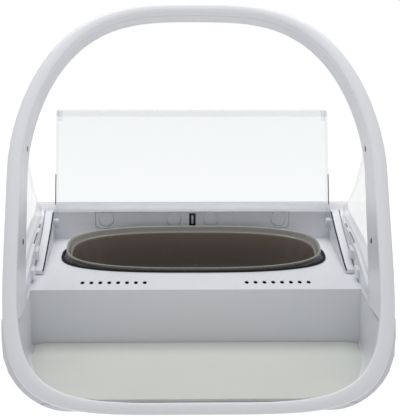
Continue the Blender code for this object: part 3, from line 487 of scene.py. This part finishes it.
def clear_plastic(name, colour, face=0.085, edge=0.16):
    """Clear plastic: nearly open square on, closing a little at a slant and more along its rims.

    The attribute rim of a piece, where it has one, says how far its narrow faces close up. Below
    the top of the rear wall the plastic is clearer still.
    """
    made, tree, shader = plain_shader(name)
    shader.inputs["IOR"].default_value = 1.49
    weight = node_in(tree, "ShaderNodeLayerWeight", (-900, 0))
    weight.inputs["Blend"].default_value = 0.5
    rim = node_in(tree, "ShaderNodeAttribute", (-900, 200), attribute_name="rim")
    mapped = node_in(tree, "ShaderNodeMapRange", (-650, 0))
    mapped.interpolation_type = "SMOOTHSTEP"
    mapped.inputs["From Min"].default_value = 0.2
    mapped.inputs["From Max"].default_value = 1.0
    mapped.inputs["To Min"].default_value = face
    mapped.inputs["To Max"].default_value = edge
    tree.links.new(weight.outputs["Facing"], mapped.inputs["Value"])
    place = node_in(tree, "ShaderNodeTexCoord", (-1100, -600))
    split = node_in(tree, "ShaderNodeSeparateXYZ", (-900, -600))
    tree.links.new(place.outputs["Object"], split.inputs["Vector"])
    high = node_in(tree, "ShaderNodeMapRange", (-700, -600))
    high.inputs["From Min"].default_value = REAR_TOP - 0.0010
    high.inputs["From Max"].default_value = REAR_TOP + 0.0005
    high.inputs["To Min"].default_value = 0.12
    tree.links.new(split.outputs["Z"], high.inputs["Value"])
    thin = node_in(tree, "ShaderNodeMath", (-550, -100), operation="MULTIPLY")
    tree.links.new(mapped.outputs["Result"], thin.inputs[0])
    tree.links.new(high.outputs["Result"], thin.inputs[1])
    both = node_in(tree, "ShaderNodeMath", (-450, 0), operation="MAXIMUM")
    tree.links.new(thin.outputs["Value"], both.inputs[0])
    tree.links.new(rim.outputs["Fac"], both.inputs[1])
    tree.links.new(both.outputs["Value"], shader.inputs["Alpha"])
    pale = node_in(tree, "ShaderNodeMapRange", (-650, 300))
    pale.inputs["From Min"].default_value = face
    pale.inputs["From Max"].default_value = 0.16
    tree.links.new(both.outputs["Value"], pale.inputs["Value"])
    mix = node_in(tree, "ShaderNodeMix", (-300, 250), data_type="RGBA")
    mix.inputs["A"].default_value = (*colour, 1.0)
    mix.inputs["B"].default_value = (0.55, 0.56, 0.57, 1.0)
    tree.links.new(pale.outputs["Result"], mix.inputs["Factor"])
    tree.links.new(mix.outputs["Result"], shader.inputs["Base Color"])
    gloss = surface_noise(tree, 35.0, 2.0, row=-250)
    tree.links.new(ranged(tree, gloss, 0.03, 0.08, (-450, -250)), shader.inputs["Roughness"])
    return made


def bowl_plastic_with_painted_shade(name, rim, inside):
    """Moulded finish that steps from the rim's tone to the inside's darker tone, which is painted
    shade, then darkens down the wall as further painted shade.

    The level counted is the height above the plane of the tilted rim.
    """
    made = moulded(name, rim, 0.22, coat=0.3, vary=0.04)
    tree = made.node_tree
    shader = tree.nodes["Principled BSDF"]
    tone = shader.inputs["Base Color"].links[0].from_socket
    place = node_in(tree, "ShaderNodeTexCoord", (-1100, 600))
    level = node_in(tree, "ShaderNodeVectorMath", (-900, 600), operation="DOT_PRODUCT")
    level.inputs[1].default_value = (0.0, -math.tan(BOWL_TILT), 1.0)
    tree.links.new(place.outputs["Object"], level.inputs[0])
    # Painted shade: below the rim's band the colour turns to the darker inside tone.
    share = node_in(tree, "ShaderNodeMapRange", (-700, 600))
    flat = BOWL_MID - BOWL_Y * math.tan(BOWL_TILT)
    share.inputs["From Min"].default_value = flat - 0.0046
    share.inputs["From Max"].default_value = flat - 0.0036
    tree.links.new(level.outputs["Value"], share.inputs["Value"])
    # Painted shade: the inside tone darkens with depth, from 1.7 times the inside colour near the
    # rim to 0.72 times it deep down.
    depth = node_in(tree, "ShaderNodeMapRange", (-700, 850))
    depth.inputs["From Min"].default_value = flat - 0.024
    depth.inputs["From Max"].default_value = flat - 0.0046
    tree.links.new(level.outputs["Value"], depth.inputs["Value"])
    wall = node_in(tree, "ShaderNodeMix", (-400, 750), data_type="RGBA")
    wall.inputs["A"].default_value = (*[c * 0.72 for c in inside], 1.0)
    wall.inputs["B"].default_value = (*[c * 1.7 + 0.012 for c in inside], 1.0)
    tree.links.new(depth.outputs["Result"], wall.inputs["Factor"])
    mix = node_in(tree, "ShaderNodeMix", (-200, 450), data_type="RGBA")
    tree.links.new(wall.outputs["Result"], mix.inputs["A"])
    tree.links.new(share.outputs["Result"], mix.inputs["Factor"])
    tree.links.new(tone, mix.inputs["B"])
    tree.links.new(mix.outputs["Result"], shader.inputs["Base Color"])
    return made


def finishes():
    """Every material slot of the record, by name."""
    tints = bpy.context.scene.feeder_colours
    return {
        "white_shell": moulded("white_shell_look", tints.shell, 0.34, coat=0.12, vary=0.012),
        "panel_grey": moulded("panel_look", tints.panel, 0.42, vary=0.02),
        "button_grey": moulded("button_look", tints.button, 0.55, depth=0.00003),
        "clear_plastic": clear_plastic("clear_look", tints.clear),
        # Bowl: taupe rim, with painted shade inside that darkens down the wall.
        "bowl_taupe": bowl_plastic_with_painted_shade("bowl_with_painted_shade_look", tints.bowl, tints.bowl_inside_shade),
        "seal_rubber": moulded("seal_look", tints.seal, 0.6, vary=0.1, shine=0.15),
        "foot_rubber": moulded("foot_look", tints.foot, 0.75, depth=0.00004, vary=0.1),
        "mat_grey": moulded(
            "mat_look", tints.mat, 0.55, grain=1500.0, depth=0.00004, vary=0.02
        ),
        "dark_window": moulded("window_look", tints.window, 0.10, vary=0.05, coat=0.4),
        # Painted shade: the near-black screen, with no shine, stands for the shade seen through the
        # openings over it.
        "screen_black": moulded("screen_painted_shade_look", (0.004, 0.004, 0.005), 0.8, shine=0.0),
        "steel": moulded("steel_look", tints.steel, 0.28, metal=1.0, stretch=(1.0, 6.0, 6.0)),
        "motor_can": moulded(
            "can_look", (0.42, 0.42, 0.44), 0.34, metal=1.0, stretch=(8.0, 1.0, 1.0)
        ),
        "gearbox_plastic": moulded("gearbox_look", (0.09, 0.095, 0.10), 0.5, depth=0.00004),
        "gear_plastic": moulded("gear_look", (0.60, 0.59, 0.54), 0.38, vary=0.04),
        "coil_copper": moulded(
            "coil_look", tints.coil, 0.32, metal=1.0, grain=2500.0, depth=0.00005
        ),
        "cell_wrap": moulded("cell_look", (0.03, 0.032, 0.038), 0.22, coat=0.5),
        "contact_plate": moulded("contact_look", (0.62, 0.58, 0.46), 0.24, metal=1.0),
        "board_green": moulded("board_look", tints.board, 0.30, coat=0.4, grain=1200.0, vary=0.12),
        "buzzer_black": moulded("buzzer_look", (0.015, 0.015, 0.015), 0.45, depth=0.00003),
        "light_green": moulded("light_look", tints.light, 0.12, coat=0.6),
    }


looks = {}


class FEEDER_OT_finishes(bpy.types.Operator):
    """Gives every solid of the frame the finish its slot names"""

    bl_idname = "feeder.finishes"
    bl_label = "Finishes"

    def execute(self, context):
        looks.update(finishes())
        for part in frame["record"]["subparts"]:
            data = frame["nodes"][part["node"]].data
            data.materials.clear()
            data.materials.append(looks[part["material_slot"]])
        return {"FINISHED"}


# ---- Hoop ----


def hoop_grid(angles, inset, depth, inner):
    """Points of the hoop for arrays of angle, inset from its outline and depth behind its face.

    Each half is a power curve: width and height are the cosine and sine raised to two over the
    curve's powers. The face leans back, and the depth runs square to it inside and level outside
    at the foot.
    """
    upper = np.sin(angles) > 0
    half = WIDTH / 2 - FACE_SIDE * inset
    top = HEIGHT / math.cos(LEAN) - FACE_TOP * inset
    foot = UNDER / math.cos(LEAN) + FACE_FOOT * inset
    waist = HOOP_WAIST / math.cos(LEAN)
    power_x = np.where(upper, TOP_POWERS[0], FOOT_POWERS[0])
    power_s = np.where(upper, TOP_POWERS[1], FOOT_POWERS[1])
    reach = np.where(upper, top - waist, waist - foot)
    cosine, sine = np.cos(angles), np.sin(angles)
    x = half * np.sign(cosine) * np.abs(cosine) ** (2 / power_x)
    s = waist + reach * np.sign(sine) * np.abs(sine) ** (2 / power_s)
    high = s * math.cos(LEAN)
    drop = np.where(inner, LEAN, LEAN * np.minimum(high / HEIGHT, 1.0))
    y = HOOP_FACE + s * math.sin(LEAN) + depth * np.cos(drop)
    z = high - depth * np.sin(drop)
    return np.stack(np.broadcast_arrays(x, y, z), axis=-1)


def hoop_turns(steps):
    """Angles spaced so that the points crowd at the corners of the power curves."""
    turns = np.linspace(0.0, 2 * math.pi, steps, endpoint=False)
    return turns + 0.16 * np.sin(4 * turns)


def hoop_depth(high):
    """Depth of the hoop behind its face: it grows to the foot as a power of the way down."""
    share = np.clip(high / HEIGHT, 0.0, 1.0)
    return DEPTH_TOP + (DEPTH_FOOT - DEPTH_TOP) * (1 - share) ** 1.35


def trim_shell(steps, edge):
    """Front ring of the hoop: its section carried round the hoop's outline.

    The section is a band with a quarter circle on each front corner, the inner one smaller, and
    a face that swells a little in its middle.
    """
    turn = np.linspace(0.0, math.pi / 2, 6)
    outer = edge / FACE_SIDE
    inner = INNER_SHARE * edge / FACE_SIDE
    swell = np.linspace(outer, 1 - inner, 7)[1:-1]
    inset = np.concatenate(
        [outer * (1 - np.cos(turn)), swell, 1 - inner + inner * np.sin(turn), [1.0, 0.0]]
    )
    depth = np.concatenate(
        [
            edge * (1 - np.sin(turn)),
            -0.0003 * np.sin(math.pi * swell),
            INNER_SHARE * edge * (1 - np.cos(turn)),
            [TRIM_DEPTH, TRIM_DEPTH],
        ]
    )
    angles = hoop_turns(steps)[:, None]
    lean_in = np.broadcast_to(inset > 0.45, (steps, len(inset)))
    return grid_shell(hoop_grid(angles, inset[None], depth[None], lean_in), loop=True)


def band_shell(steps):
    """Hoop behind its front ring: a section carried from one foot over the top to the other.

    The section's sides run from the ring to a rounded rear edge, whose depth grows towards the
    foot. Each line of it ends where it meets the level of the body's side walls, and only the
    last one, against the ring, leans in as the ring's inner side does.
    """
    rows = 9
    turn = np.linspace(0.0, math.pi, rows)
    back_inset = 0.59 * (1 - np.cos(turn))
    back_bulge = np.sin(turn) ** 0.8 * 0.0016
    inset = np.concatenate([np.full(5, 0.0), back_inset, np.linspace(1.0 + BAND_SWELL, 1.0, 5)])
    share = np.concatenate([np.linspace(0, 1, 6)[:-1], np.ones(rows), np.linspace(1, 0, 6)[1:]])
    bulge = np.concatenate([np.zeros(5), back_bulge - 0.0014, np.zeros(5)])
    inner = np.arange(len(inset)) == len(inset) - 1
    fine = np.linspace(-math.pi / 2 + 0.05, math.pi / 2, 900)[:, None]
    start = TRIM_DEPTH + GAP

    def surface(angles):
        level = hoop_grid(angles, 0.0, 0.0, False)[..., 2]
        depth = start + (hoop_depth(level) - start) * share[None] + bulge[None]
        return hoop_grid(angles, inset[None], depth, np.broadcast_to(inner, depth.shape))

    heights = surface(fine)[..., 2]
    ends = np.array([np.interp(BAND_CUT, heights[:, i], fine[:, 0]) for i in range(len(inset))])
    way = np.linspace(0.0, 1.0, steps)[:, None]
    angles = ends[None] + (math.pi - 2 * ends[None]) * way
    return grid_shell(surface(angles))


def inner_wall(angles, share):
    """Points of the band's inner side: share says how far back, from its front to its rear edge."""
    level = hoop_grid(angles, 0.0, 0.0, False)[..., 2]
    start = TRIM_DEPTH + GAP
    depth = start + (hoop_depth(level) - start) * share
    return hoop_grid(angles, 1.0 + BAND_SWELL * share / 0.8, depth, np.zeros(depth.shape, bool))


def window_shell(node):
    """Low dome on the hoop's inner side: its circles shrink as the cosine, and rise as the sine.

    It stands at the level and the depth of its frame solid, square to the surface there.
    """
    low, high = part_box(node)
    side = math.copysign(1.0, low.x + high.x)
    middle = (low + high) / 2
    angle = np.linspace(-math.pi / 2, math.pi / 2, 1201)
    share = 0.5
    for _ in range(8):
        line = inner_wall(angle, share)
        at = np.interp(middle.z, line[:, 2], angle)
        behind = middle.y - np.interp(at, angle, line[:, 1])
        share = float(np.clip(share + behind / hoop_depth(middle.z), *WINDOW_SHARES))
    around, after, deeper = inner_wall(
        np.array([at, at + 0.01, at]), np.array([share, share, share + 0.05])
    )
    normal = np.cross(after - around, deeper - around)
    normal = normal / np.linalg.norm(normal)
    normal = normal * -np.sign(normal[0])
    first = (deeper - around) / np.linalg.norm(deeper - around)
    second = np.cross(normal, first)
    turn = np.linspace(0.0, math.pi / 2, 8)[:-1]
    spin = np.linspace(0.0, 2 * math.pi, 32, endpoint=False)
    wide = np.concatenate([[1.0], np.cos(turn)]) * WINDOW_R
    rise = np.concatenate([[-WINDOW_SUNK], np.sin(turn) * WINDOW_PROUD])
    circle = np.cos(spin)[:, None] * first + np.sin(spin)[:, None] * second
    grid = around + rise[:, None, None] * normal + wide[:, None, None] * circle[None]
    grid[..., 0] *= side
    return grid_shell(grid)


class FEEDER_OT_windows(bpy.types.Operator):
    """Dark light windows on the hoop's inner sides"""

    bl_idname = "feeder.windows"
    bl_label = "Windows"

    def execute(self, context):
        for place in ("left_high", "left_low", "right_high", "right_low"):
            node = f"light_window_{place}"
            piece_from(
                f"window_{place}", [window_shell(node)],
                "root", looks["dark_window"], [node],
            )
        return {"FINISHED"}


class FEEDER_OT_hoop(bpy.types.Operator):
    """Front ring and band of the leaning hoop"""

    bl_idname = "feeder.hoop"
    bl_label = "Hoop"

    def execute(self, context):
        sizes = context.scene.feeder_sizes
        white = looks["white_shell"]
        piece_from(
            "hoop_face_ring", [trim_shell(sizes.hoop_steps, sizes.hoop_edge)],
            "root", white, ["hoop_trim"],
        )
        piece_from(
            "hoop_rear_band", [band_shell(sizes.hoop_steps)],
            "root", white, ["hoop_band"],
        )
        return {"FINISHED"}


# ---- Body ----


def outer_corners(middle, long):
    """Keeps the long corners of the shells: the deck's front, the side walls' tops, the outside."""
    high = middle[:, 2] > SHELL_LOW
    deck_front = (np.abs(middle[:, 1] - DECK_FRONT) < 0.001) & high
    sides = (np.abs(middle[:, 0]) > SIDE_INNER) & high
    return (deck_front | sides) & (long > SHORT_EDGE)


def rail_painted_shadow_line(node):
    """Painted shadow on a rail's inner top corner: a dark line, a small square section carried
    along the corner, that stands for the shadow in the gap between the rail and the lid's arm.

    The corner's course is the highest point of the rail's inner face at each step back.
    """
    mesh = frame["nodes"][node].data
    points = np.empty(len(mesh.vertices) * 3, np.float32)
    mesh.vertices.foreach_get("co", points)
    points = points.reshape(-1, 3)
    inner = np.abs(points[:, 0]).min()
    face = points[np.abs(np.abs(points[:, 0]) - inner) < 0.0002]
    side = np.sign(face[0, 0])
    steps = np.unique(np.round(face[:, 1], 5))
    tops = np.array([face[np.abs(face[:, 1] - y) < 0.00003, 2].max() for y in steps])
    keep = (tops > DECK + 0.0012) & (steps < PAINTED_SHADOW_BACK)
    rows = np.stack([steps[keep], tops[keep]], axis=-1)
    inward, outward = inner - 0.0003, inner + 0.0007
    square = np.array([(inward, -0.0008), (outward, -0.0008), (outward, 0.0001), (inward, 0.0001)])
    section = corner_cut(square, 1, True)
    grid = np.empty((len(rows), len(section), 3))
    grid[..., 0] = side * section[None, :, 0]
    grid[..., 1] = rows[:, None, 0]
    grid[..., 2] = rows[:, None, 1] + section[None, :, 1]
    return grid_shell(grid)


class FEEDER_OT_body(bpy.types.Operator):
    """Moulded shells of the body, with their corners rounded"""

    bl_idname = "feeder.body"
    bl_label = "Body"

    def execute(self, context):
        sizes = context.scene.feeder_sizes
        large = ("upper_housing", "base_tray")
        small = (
            "side_rail_left", "side_rail_right", "battery_cover_left", "battery_cover_right",
            "wall_plate", "control_panel",
            "wall_plug_1", "wall_plug_2", "wall_plug_3", "wall_plug_4",
            "button_pair", "button_open", "button_train", "lid_pin_left", "lid_pin_right",
            "foot_1", "foot_2", "foot_3", "foot_4",
        )
        slots = {p["node"]: p["material_slot"] for p in frame["record"]["subparts"]}
        for node in large:
            softened(node, looks[slots[node]], sizes.shell_edge, choose=outer_corners)
        for node in small:
            softened(node, looks[slots[node]], sizes.small_edge)
        # Painted shadow: a slim dark strip along each rail's inner top corner stands for the shadow
        # in the gap there.
        for word in ("left", "right"):
            piece_from(
                f"rail_painted_shadow_line_{word}", [rail_painted_shadow_line(f"side_rail_{word}")],
                "root", looks["seal_rubber"],
            )
        return {"FINISHED"}


# ---- Bowl and mat ----


def oval_ring(z, half_x, half_y, tilt, steps):
    """Rings of a power-curve oval, tilted about the bowl's middle line.

    Width and length are the cosine and sine raised to two over the power, with their signs kept.
    """
    angle = np.linspace(0.0, 2 * math.pi, steps, endpoint=False)[None]
    cosine, sine = np.cos(angle), np.sin(angle)
    a = half_x[:, None] * np.sign(cosine) * np.abs(cosine) ** (2 / BOWL_POWER)
    b = half_y[:, None] * np.sign(sine) * np.abs(sine) ** (2 / BOWL_POWER)
    level = z[:, None] + b * np.tan(tilt)[:, None]
    return np.stack([a, BOWL_Y + b, level], axis=-1)


def bowl_shell():
    """Bowl: its wall's section carried round the oval, inside and outside in one skin."""
    mid, floor, wall = BOWL_MID, BOWL_FLOOR, BOWL_WALL
    outside = [
        (floor, 0.046, 0.0), (floor, 0.030, 0.0), (floor + 0.004, 0.0185, 0.0),
        (floor + 0.014, 0.0085, 0.3), (mid - 0.0052, 0.0032, 0.95), (mid - 0.0044, 0.0012, 1.0),
        (mid - 0.0031, 0.0008, 1.0), (mid - 0.0027, 0.0024, 1.0), (mid - 0.0022, 0.0024, 1.0),
        (mid - 0.0018, 0.0003, 1.0), (mid - 0.0007, 0.0001, 1.0), (mid, 0.0003, 1.0),
    ]
    inside = [
        (mid + 0.0001, 0.0010, 1.0), (mid - 0.0002, wall * 0.9, 1.0),
        (mid - 0.0036, wall * 1.6, 1.0), (mid - 0.0042, wall * 2.2, 1.0),
        (mid - 0.0070, wall * 2.7, 0.9), (floor + 0.015, 0.0085 + wall, 0.3),
        (floor + 0.0058, 0.0185 + wall, 0.0), (floor + wall, 0.031, 0.0),
        (floor + wall, 0.046, 0.0),
    ]
    rows = corner_cut(outside + inside, 2)
    z, shrink, share = rows.T
    tilt = BOWL_TILT * share
    return grid_shell(
        oval_ring(z, BOWL_HALF[0] - shrink, BOWL_HALF[1] - 0.72 * shrink, tilt, OVAL_STEPS)
    )


def seal_shell():
    """Seal: a small rounded section carried round the mouth of the well."""
    turn = np.linspace(0.0, 2 * math.pi, 12, endpoint=False)
    grow = 0.0006 + 0.0010 * np.sign(np.cos(turn)) * np.abs(np.cos(turn)) ** 0.6
    z = DECK + GAP + 0.0005 + 0.0005 * np.sign(np.sin(turn)) * np.abs(np.sin(turn)) ** 0.6
    grid = oval_ring(z, WELL_HALF[0] + grow, WELL_HALF[1] + grow, np.zeros(12), OVAL_STEPS)
    return grid_shell(grid.transpose(1, 0, 2), loop=True)


class FEEDER_OT_bowl(bpy.types.Operator):
    """Oval bowl with its stepped rim, and the seal round its well"""

    bl_idname = "feeder.bowl"
    bl_label = "Bowl"

    def execute(self, context):
        piece_from("bowl_dish", [bowl_shell()], "bowl", looks["bowl_taupe"], ["bowl"])
        piece_from(
            "well_ring", [seal_shell()], "root", looks["seal_rubber"], ["well_seal"]
        )
        return {"FINISHED"}


def mat_outline(y):
    """Half width of the mat: the least of the tray's width there and the hoop's inner outline."""
    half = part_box("mat")[1].x
    s = (y - HOOP_FACE) * math.sin(LEAN) + SEAM * math.cos(LEAN)
    waist = HOOP_WAIST / math.cos(LEAN)
    foot = UNDER / math.cos(LEAN) + FACE_FOOT
    below = np.clip((waist - s) / (waist - foot), 0.0, 1.0)
    ring = (WIDTH / 2 - FACE_SIDE) * (1 - below ** FOOT_POWERS[1]) ** (1 / FOOT_POWERS[0]) - 0.0008
    return np.minimum(half, ring)


def mat_shell(edge):
    """Mat: a thin section with rounded rims, as wide as the outline at each step back."""
    low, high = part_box("mat")
    turn = np.linspace(0.0, math.pi / 2, 5)
    draw = edge * (1 - np.sin(turn))
    back = high.y
    corner, rows = 0.003, 60
    y = np.concatenate(
        [
            low.y + edge * (1 - np.cos(turn[:-1])),
            np.linspace(low.y + edge, back - corner, rows),
            back - corner + corner * np.sin(turn[1:]),
        ]
    )
    pull = np.concatenate([draw[:-1], np.zeros(rows), corner * (1 - np.cos(turn[1:]))])
    half = mat_outline(np.clip(y, low.y, back)) - pull
    lift = np.concatenate([draw[:-1], np.zeros(rows + len(turn) - 1)])
    across = np.linspace(-1.0, 1.0, 61)
    rim = np.clip((1 - np.abs(across)) * half[:, None] / edge, 0.0, 1.0)
    top = low.z + MAT_THICK - edge * (1 - np.sqrt(1 - (1 - rim) ** 2)) * 0.9 - lift[:, None] * 0.8
    bottom = np.full_like(top, low.z)
    x = half[:, None] * across[None]
    upper = np.stack([x, np.broadcast_to(y[:, None], x.shape), top], axis=-1)
    lower = np.stack([x, np.broadcast_to(y[:, None], x.shape), bottom], axis=-1)
    return grid_shell(np.concatenate([upper, lower[:, ::-1]], axis=1))


class FEEDER_OT_mat(bpy.types.Operator):
    """Flat mat inside the hoop"""

    bl_idname = "feeder.mat"
    bl_label = "Mat"

    def execute(self, context):
        piece_from(
            "floor_mat", [mat_shell(context.scene.feeder_sizes.mat_edge)],
            "mat", looks["mat_grey"], ["mat"],
        )
        return {"FINISHED"}


# ---- Lid and guards ----


def opened(shell):
    """Turns a part drawn on the shut, level lid about its pins to where the lid stands open."""
    points, faces = shell
    turn = -(math.pi / 2 + LID_LEAN)
    y = PIVOT[0] + points[:, 1] * math.cos(turn) - points[:, 2] * math.sin(turn)
    z = PIVOT[1] + points[:, 1] * math.sin(turn) + points[:, 2] * math.cos(turn)
    return np.stack([points[:, 0], y, z], axis=-1), faces


def lid_shells():
    """Clear lid: plate, thick free edge, two side flanges with round arms, and corner gussets."""
    half, high, low = LID_HALF, LID_THICK / 2, -LID_THICK / 2
    plate = [
        (-LID_LONG + LID_ROD, low), (-0.0040, low), (-0.0032, low + 0.0008),
        (-0.0032, high - 0.0008), (-0.0040, high), (-LID_LONG + LID_ROD, high),
    ]
    edge = corner_cut(
        [
            (-LID_LONG - 0.0005, low - 0.0013), (-LID_LONG + LID_ROD, low - 0.0013),
            (-LID_LONG + LID_ROD, high + 0.0008), (-LID_LONG - 0.0005, high + 0.0008),
        ],
        3, True,
    )
    shells = [
        carried(plate, 0, (-half + 0.0023, half - 0.0023)),
        carried(edge, 0, (-half, half), edge=0.0006),
    ]
    arm = [(0.0046 * math.cos(a), 0.0046 * math.sin(a)) for a in np.linspace(2.2, -2.2, 25)]
    flange = [(-LID_LONG + 0.001, high - 0.0003), (-0.0085, high + 0.0002), *arm]
    flange += [(-0.014, low - LID_FLANGE), (-LID_LONG + 0.001, low - LID_FLANGE + 0.0010)]
    for side in (-1, 1):
        ends = sorted((side * (half - 0.0021), side * (half + 0.0002)))
        shells.append(carried(flange, 0, ends, edge=0.0003))
        ends = sorted((side * (half - 0.0045), side * (half - 0.0010)))
        gusset = [(-LID_LONG, low - 0.0010), (-LID_LONG + 0.0105, low), (-LID_LONG, high + 0.0006)]
        shells.append(carried(corner_cut(gusset, 2, True), 0, ends, edge=0.0004))
    return [opened(shell) for shell in shells]


def lid_reflection_lines():
    """Slim dark strips let into the outer faces of the lid's flanges, near its hinge: painted
    reflection, standing for the dark seen in the clear flanges there.
    """
    shells = []
    near, far = LID_REFLECTION_SPAN
    for side in (-1, 1):
        outline = [(-far, -0.0006), (-near, -0.0006), (-near, 0.0004), (-far, 0.0004)]
        ends = sorted((side * (LID_HALF - 0.0003), side * (LID_HALF + 0.00035)))
        shells.append(opened(carried(outline, 0, ends, edge=0.0001)))
    return shells


def sensor_mark():
    """Pale light guide on the sensor's window: two discs joined by a waist, drawn as one outline.

    Its half width is a waist plus a bulge that follows the square of the cosine along its length.
    """
    low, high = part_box("lid_sensor")
    middle, reach = (low + high) / 2, (high.z - low.z) / 2 - 0.0012
    along = np.linspace(-1.0, 1.0, 33)
    wide = 0.00035 + 0.00055 * np.cos(2 * math.pi * along) ** 2
    rounded = wide * np.sqrt(np.clip(1 - along ** 2, 0.0, 1.0) / 0.19)
    wide = np.where(np.abs(along) > 0.9, rounded, wide)
    right = np.stack([middle.x + wide, middle.z + reach * along], axis=-1)[1:-1]
    left = np.stack([middle.x - wide, middle.z + reach * along], axis=-1)[1:-1]
    outline = np.concatenate([right, left[::-1]])
    return carried(outline, 1, (low.y - 0.00022, low.y + 0.0003), edge=0.00008)


class FEEDER_OT_lid(bpy.types.Operator):
    """Clear hinged lid and the two clear side guards"""

    bl_idname = "feeder.lid"
    bl_label = "Lid and guards"

    def execute(self, context):
        clear = looks["clear_plastic"]
        rims = [0.0, LID_EDGE_CLOSED] + [LID_FLANGE_CLOSED, LID_GUSSET_CLOSED] * 2
        piece_from(
            "lid_clear", lid_shells(), "lid", clear, ["lid_panel"], rims=rims
        )
        # Painted reflection: dark strips on the flanges stand for the dark seen in the clear
        # plastic there.
        piece_from("lid_painted_reflection_lines", lid_reflection_lines(), "lid", looks["dark_window"])
        piece_from("sensor_guide", [sensor_mark()], "root", looks["white_shell"])
        for word in ("left", "right"):
            softened(f"side_guard_{word}", clear, 0.0004, rim=GUARD_EDGE_CLOSED)
        return {"FINISHED"}


# ---- Stage ----


def area_lamp(name, place, aim, size, power):
    """Soft rectangular lamp at a place, turned towards its aim."""
    data = bpy.data.lights.new(name, "AREA")
    data.shape = "RECTANGLE"
    data.size, data.size_y = size
    data.energy = power
    lamp = bpy.data.objects.new(name, data)
    lamp.location = place
    lamp.rotation_euler = (Vector(aim) - Vector(place)).to_track_quat("-Z", "Y").to_euler()
    bpy.context.scene.collection.objects.link(lamp)


class FEEDER_OT_stage(bpy.types.Operator):
    """Pale floor, soft lamps and the camera"""

    bl_idname = "feeder.stage"
    bl_label = "Stage"

    def execute(self, context):
        scene = context.scene
        reach = FLOOR_REACH
        mesh = bpy.data.meshes.new("floor")
        corners = [(-reach, -reach, 0), (reach, -reach, 0), (reach, reach, 0), (-reach, reach, 0)]
        mesh.from_pydata(corners, [], [(0, 1, 2, 3)])
        floor = bpy.data.objects.new("floor", mesh)
        scene.collection.objects.link(floor)
        look, _, shader = plain_shader("floor_look")
        shader.inputs["Base Color"].default_value = (FLOOR_TONE, FLOOR_TONE, FLOOR_TONE, 1.0)
        shader.inputs["Roughness"].default_value = 0.95
        shader.inputs["Emission Color"].default_value = (1.0, 1.0, 1.0, 1.0)
        shader.inputs["Emission Strength"].default_value = FLOOR_GLOW
        mesh.materials.append(look)
        world = bpy.data.worlds.new("studio")
        world.use_nodes = True
        background = world.node_tree.nodes["Background"]
        background.inputs["Color"].default_value = (1.0, 1.0, 1.0, 1.0)
        background.inputs["Strength"].default_value = WORLD_GLOW
        scene.world = world
        area_lamp("overhead", (0.0, 0.17, 0.96), (0.0, 0.04, 0.0), (0.9, 0.7), 6.6)
        area_lamp("front", (-0.05, -0.35, 0.95), (0.0, -0.05, 0.05), (0.8, 0.6), 1.1)
        camera_data = bpy.data.cameras.new("camera")
        camera_data.sensor_width = SENSOR
        camera_data.lens = LENS
        camera_data.clip_end = 60.0
        camera = bpy.data.objects.new("camera", camera_data)
        camera.location = CAMERA_PLACE
        turn = Matrix.Rotation(-CAMERA_YAW, 4, "Z")
        turn = turn @ Matrix.Rotation(math.pi / 2 - CAMERA_PITCH, 4, "X")
        camera.rotation_euler = (turn @ Matrix.Rotation(CAMERA_ROLL, 4, "Z")).to_euler()
        scene.collection.objects.link(camera)
        scene.camera = camera
        scene.view_settings.view_transform = "Standard"
        return {"FINISHED"}


class FEEDER_PT_panel(bpy.types.Panel):
    """Lists the feeder's sizes, colours and pieces"""

    bl_idname = "FEEDER_PT_panel"
    bl_label = "Pet feeder"
    bl_space_type = "VIEW_3D"
    bl_region_type = "UI"
    bl_category = "Pet Feeder"

    def draw(self, context):
        layout = self.layout
        for group in (context.scene.feeder_sizes, context.scene.feeder_colours):
            box = layout.box()
            for name in group.bl_rna.properties.keys():
                if name not in ("rna_type", "name"):
                    box.prop(group, name)
        for operator in OPERATORS:
            layout.operator(operator.bl_idname)


OPERATORS = (
    FEEDER_OT_finishes,
    FEEDER_OT_hoop,
    FEEDER_OT_windows,
    FEEDER_OT_body,
    FEEDER_OT_bowl,
    FEEDER_OT_mat,
    FEEDER_OT_lid,
    FEEDER_OT_stage,
)
CLASSES = (FeederSizes, FeederColours, *OPERATORS, FEEDER_PT_panel)


def register():
    for made in CLASSES:
        bpy.utils.register_class(made)
    bpy.types.Scene.feeder_sizes = bpy.props.PointerProperty(type=FeederSizes)
    bpy.types.Scene.feeder_colours = bpy.props.PointerProperty(type=FeederColours)


def unregister():
    del bpy.types.Scene.feeder_colours
    del bpy.types.Scene.feeder_sizes
    for made in reversed(CLASSES):
        bpy.utils.unregister_class(made)


def main():
    register()
    for operator in OPERATORS:
        group, name = operator.bl_idname.split(".")
        getattr(getattr(bpy.ops, group), name)()


if __name__ == "__main__":
    main()
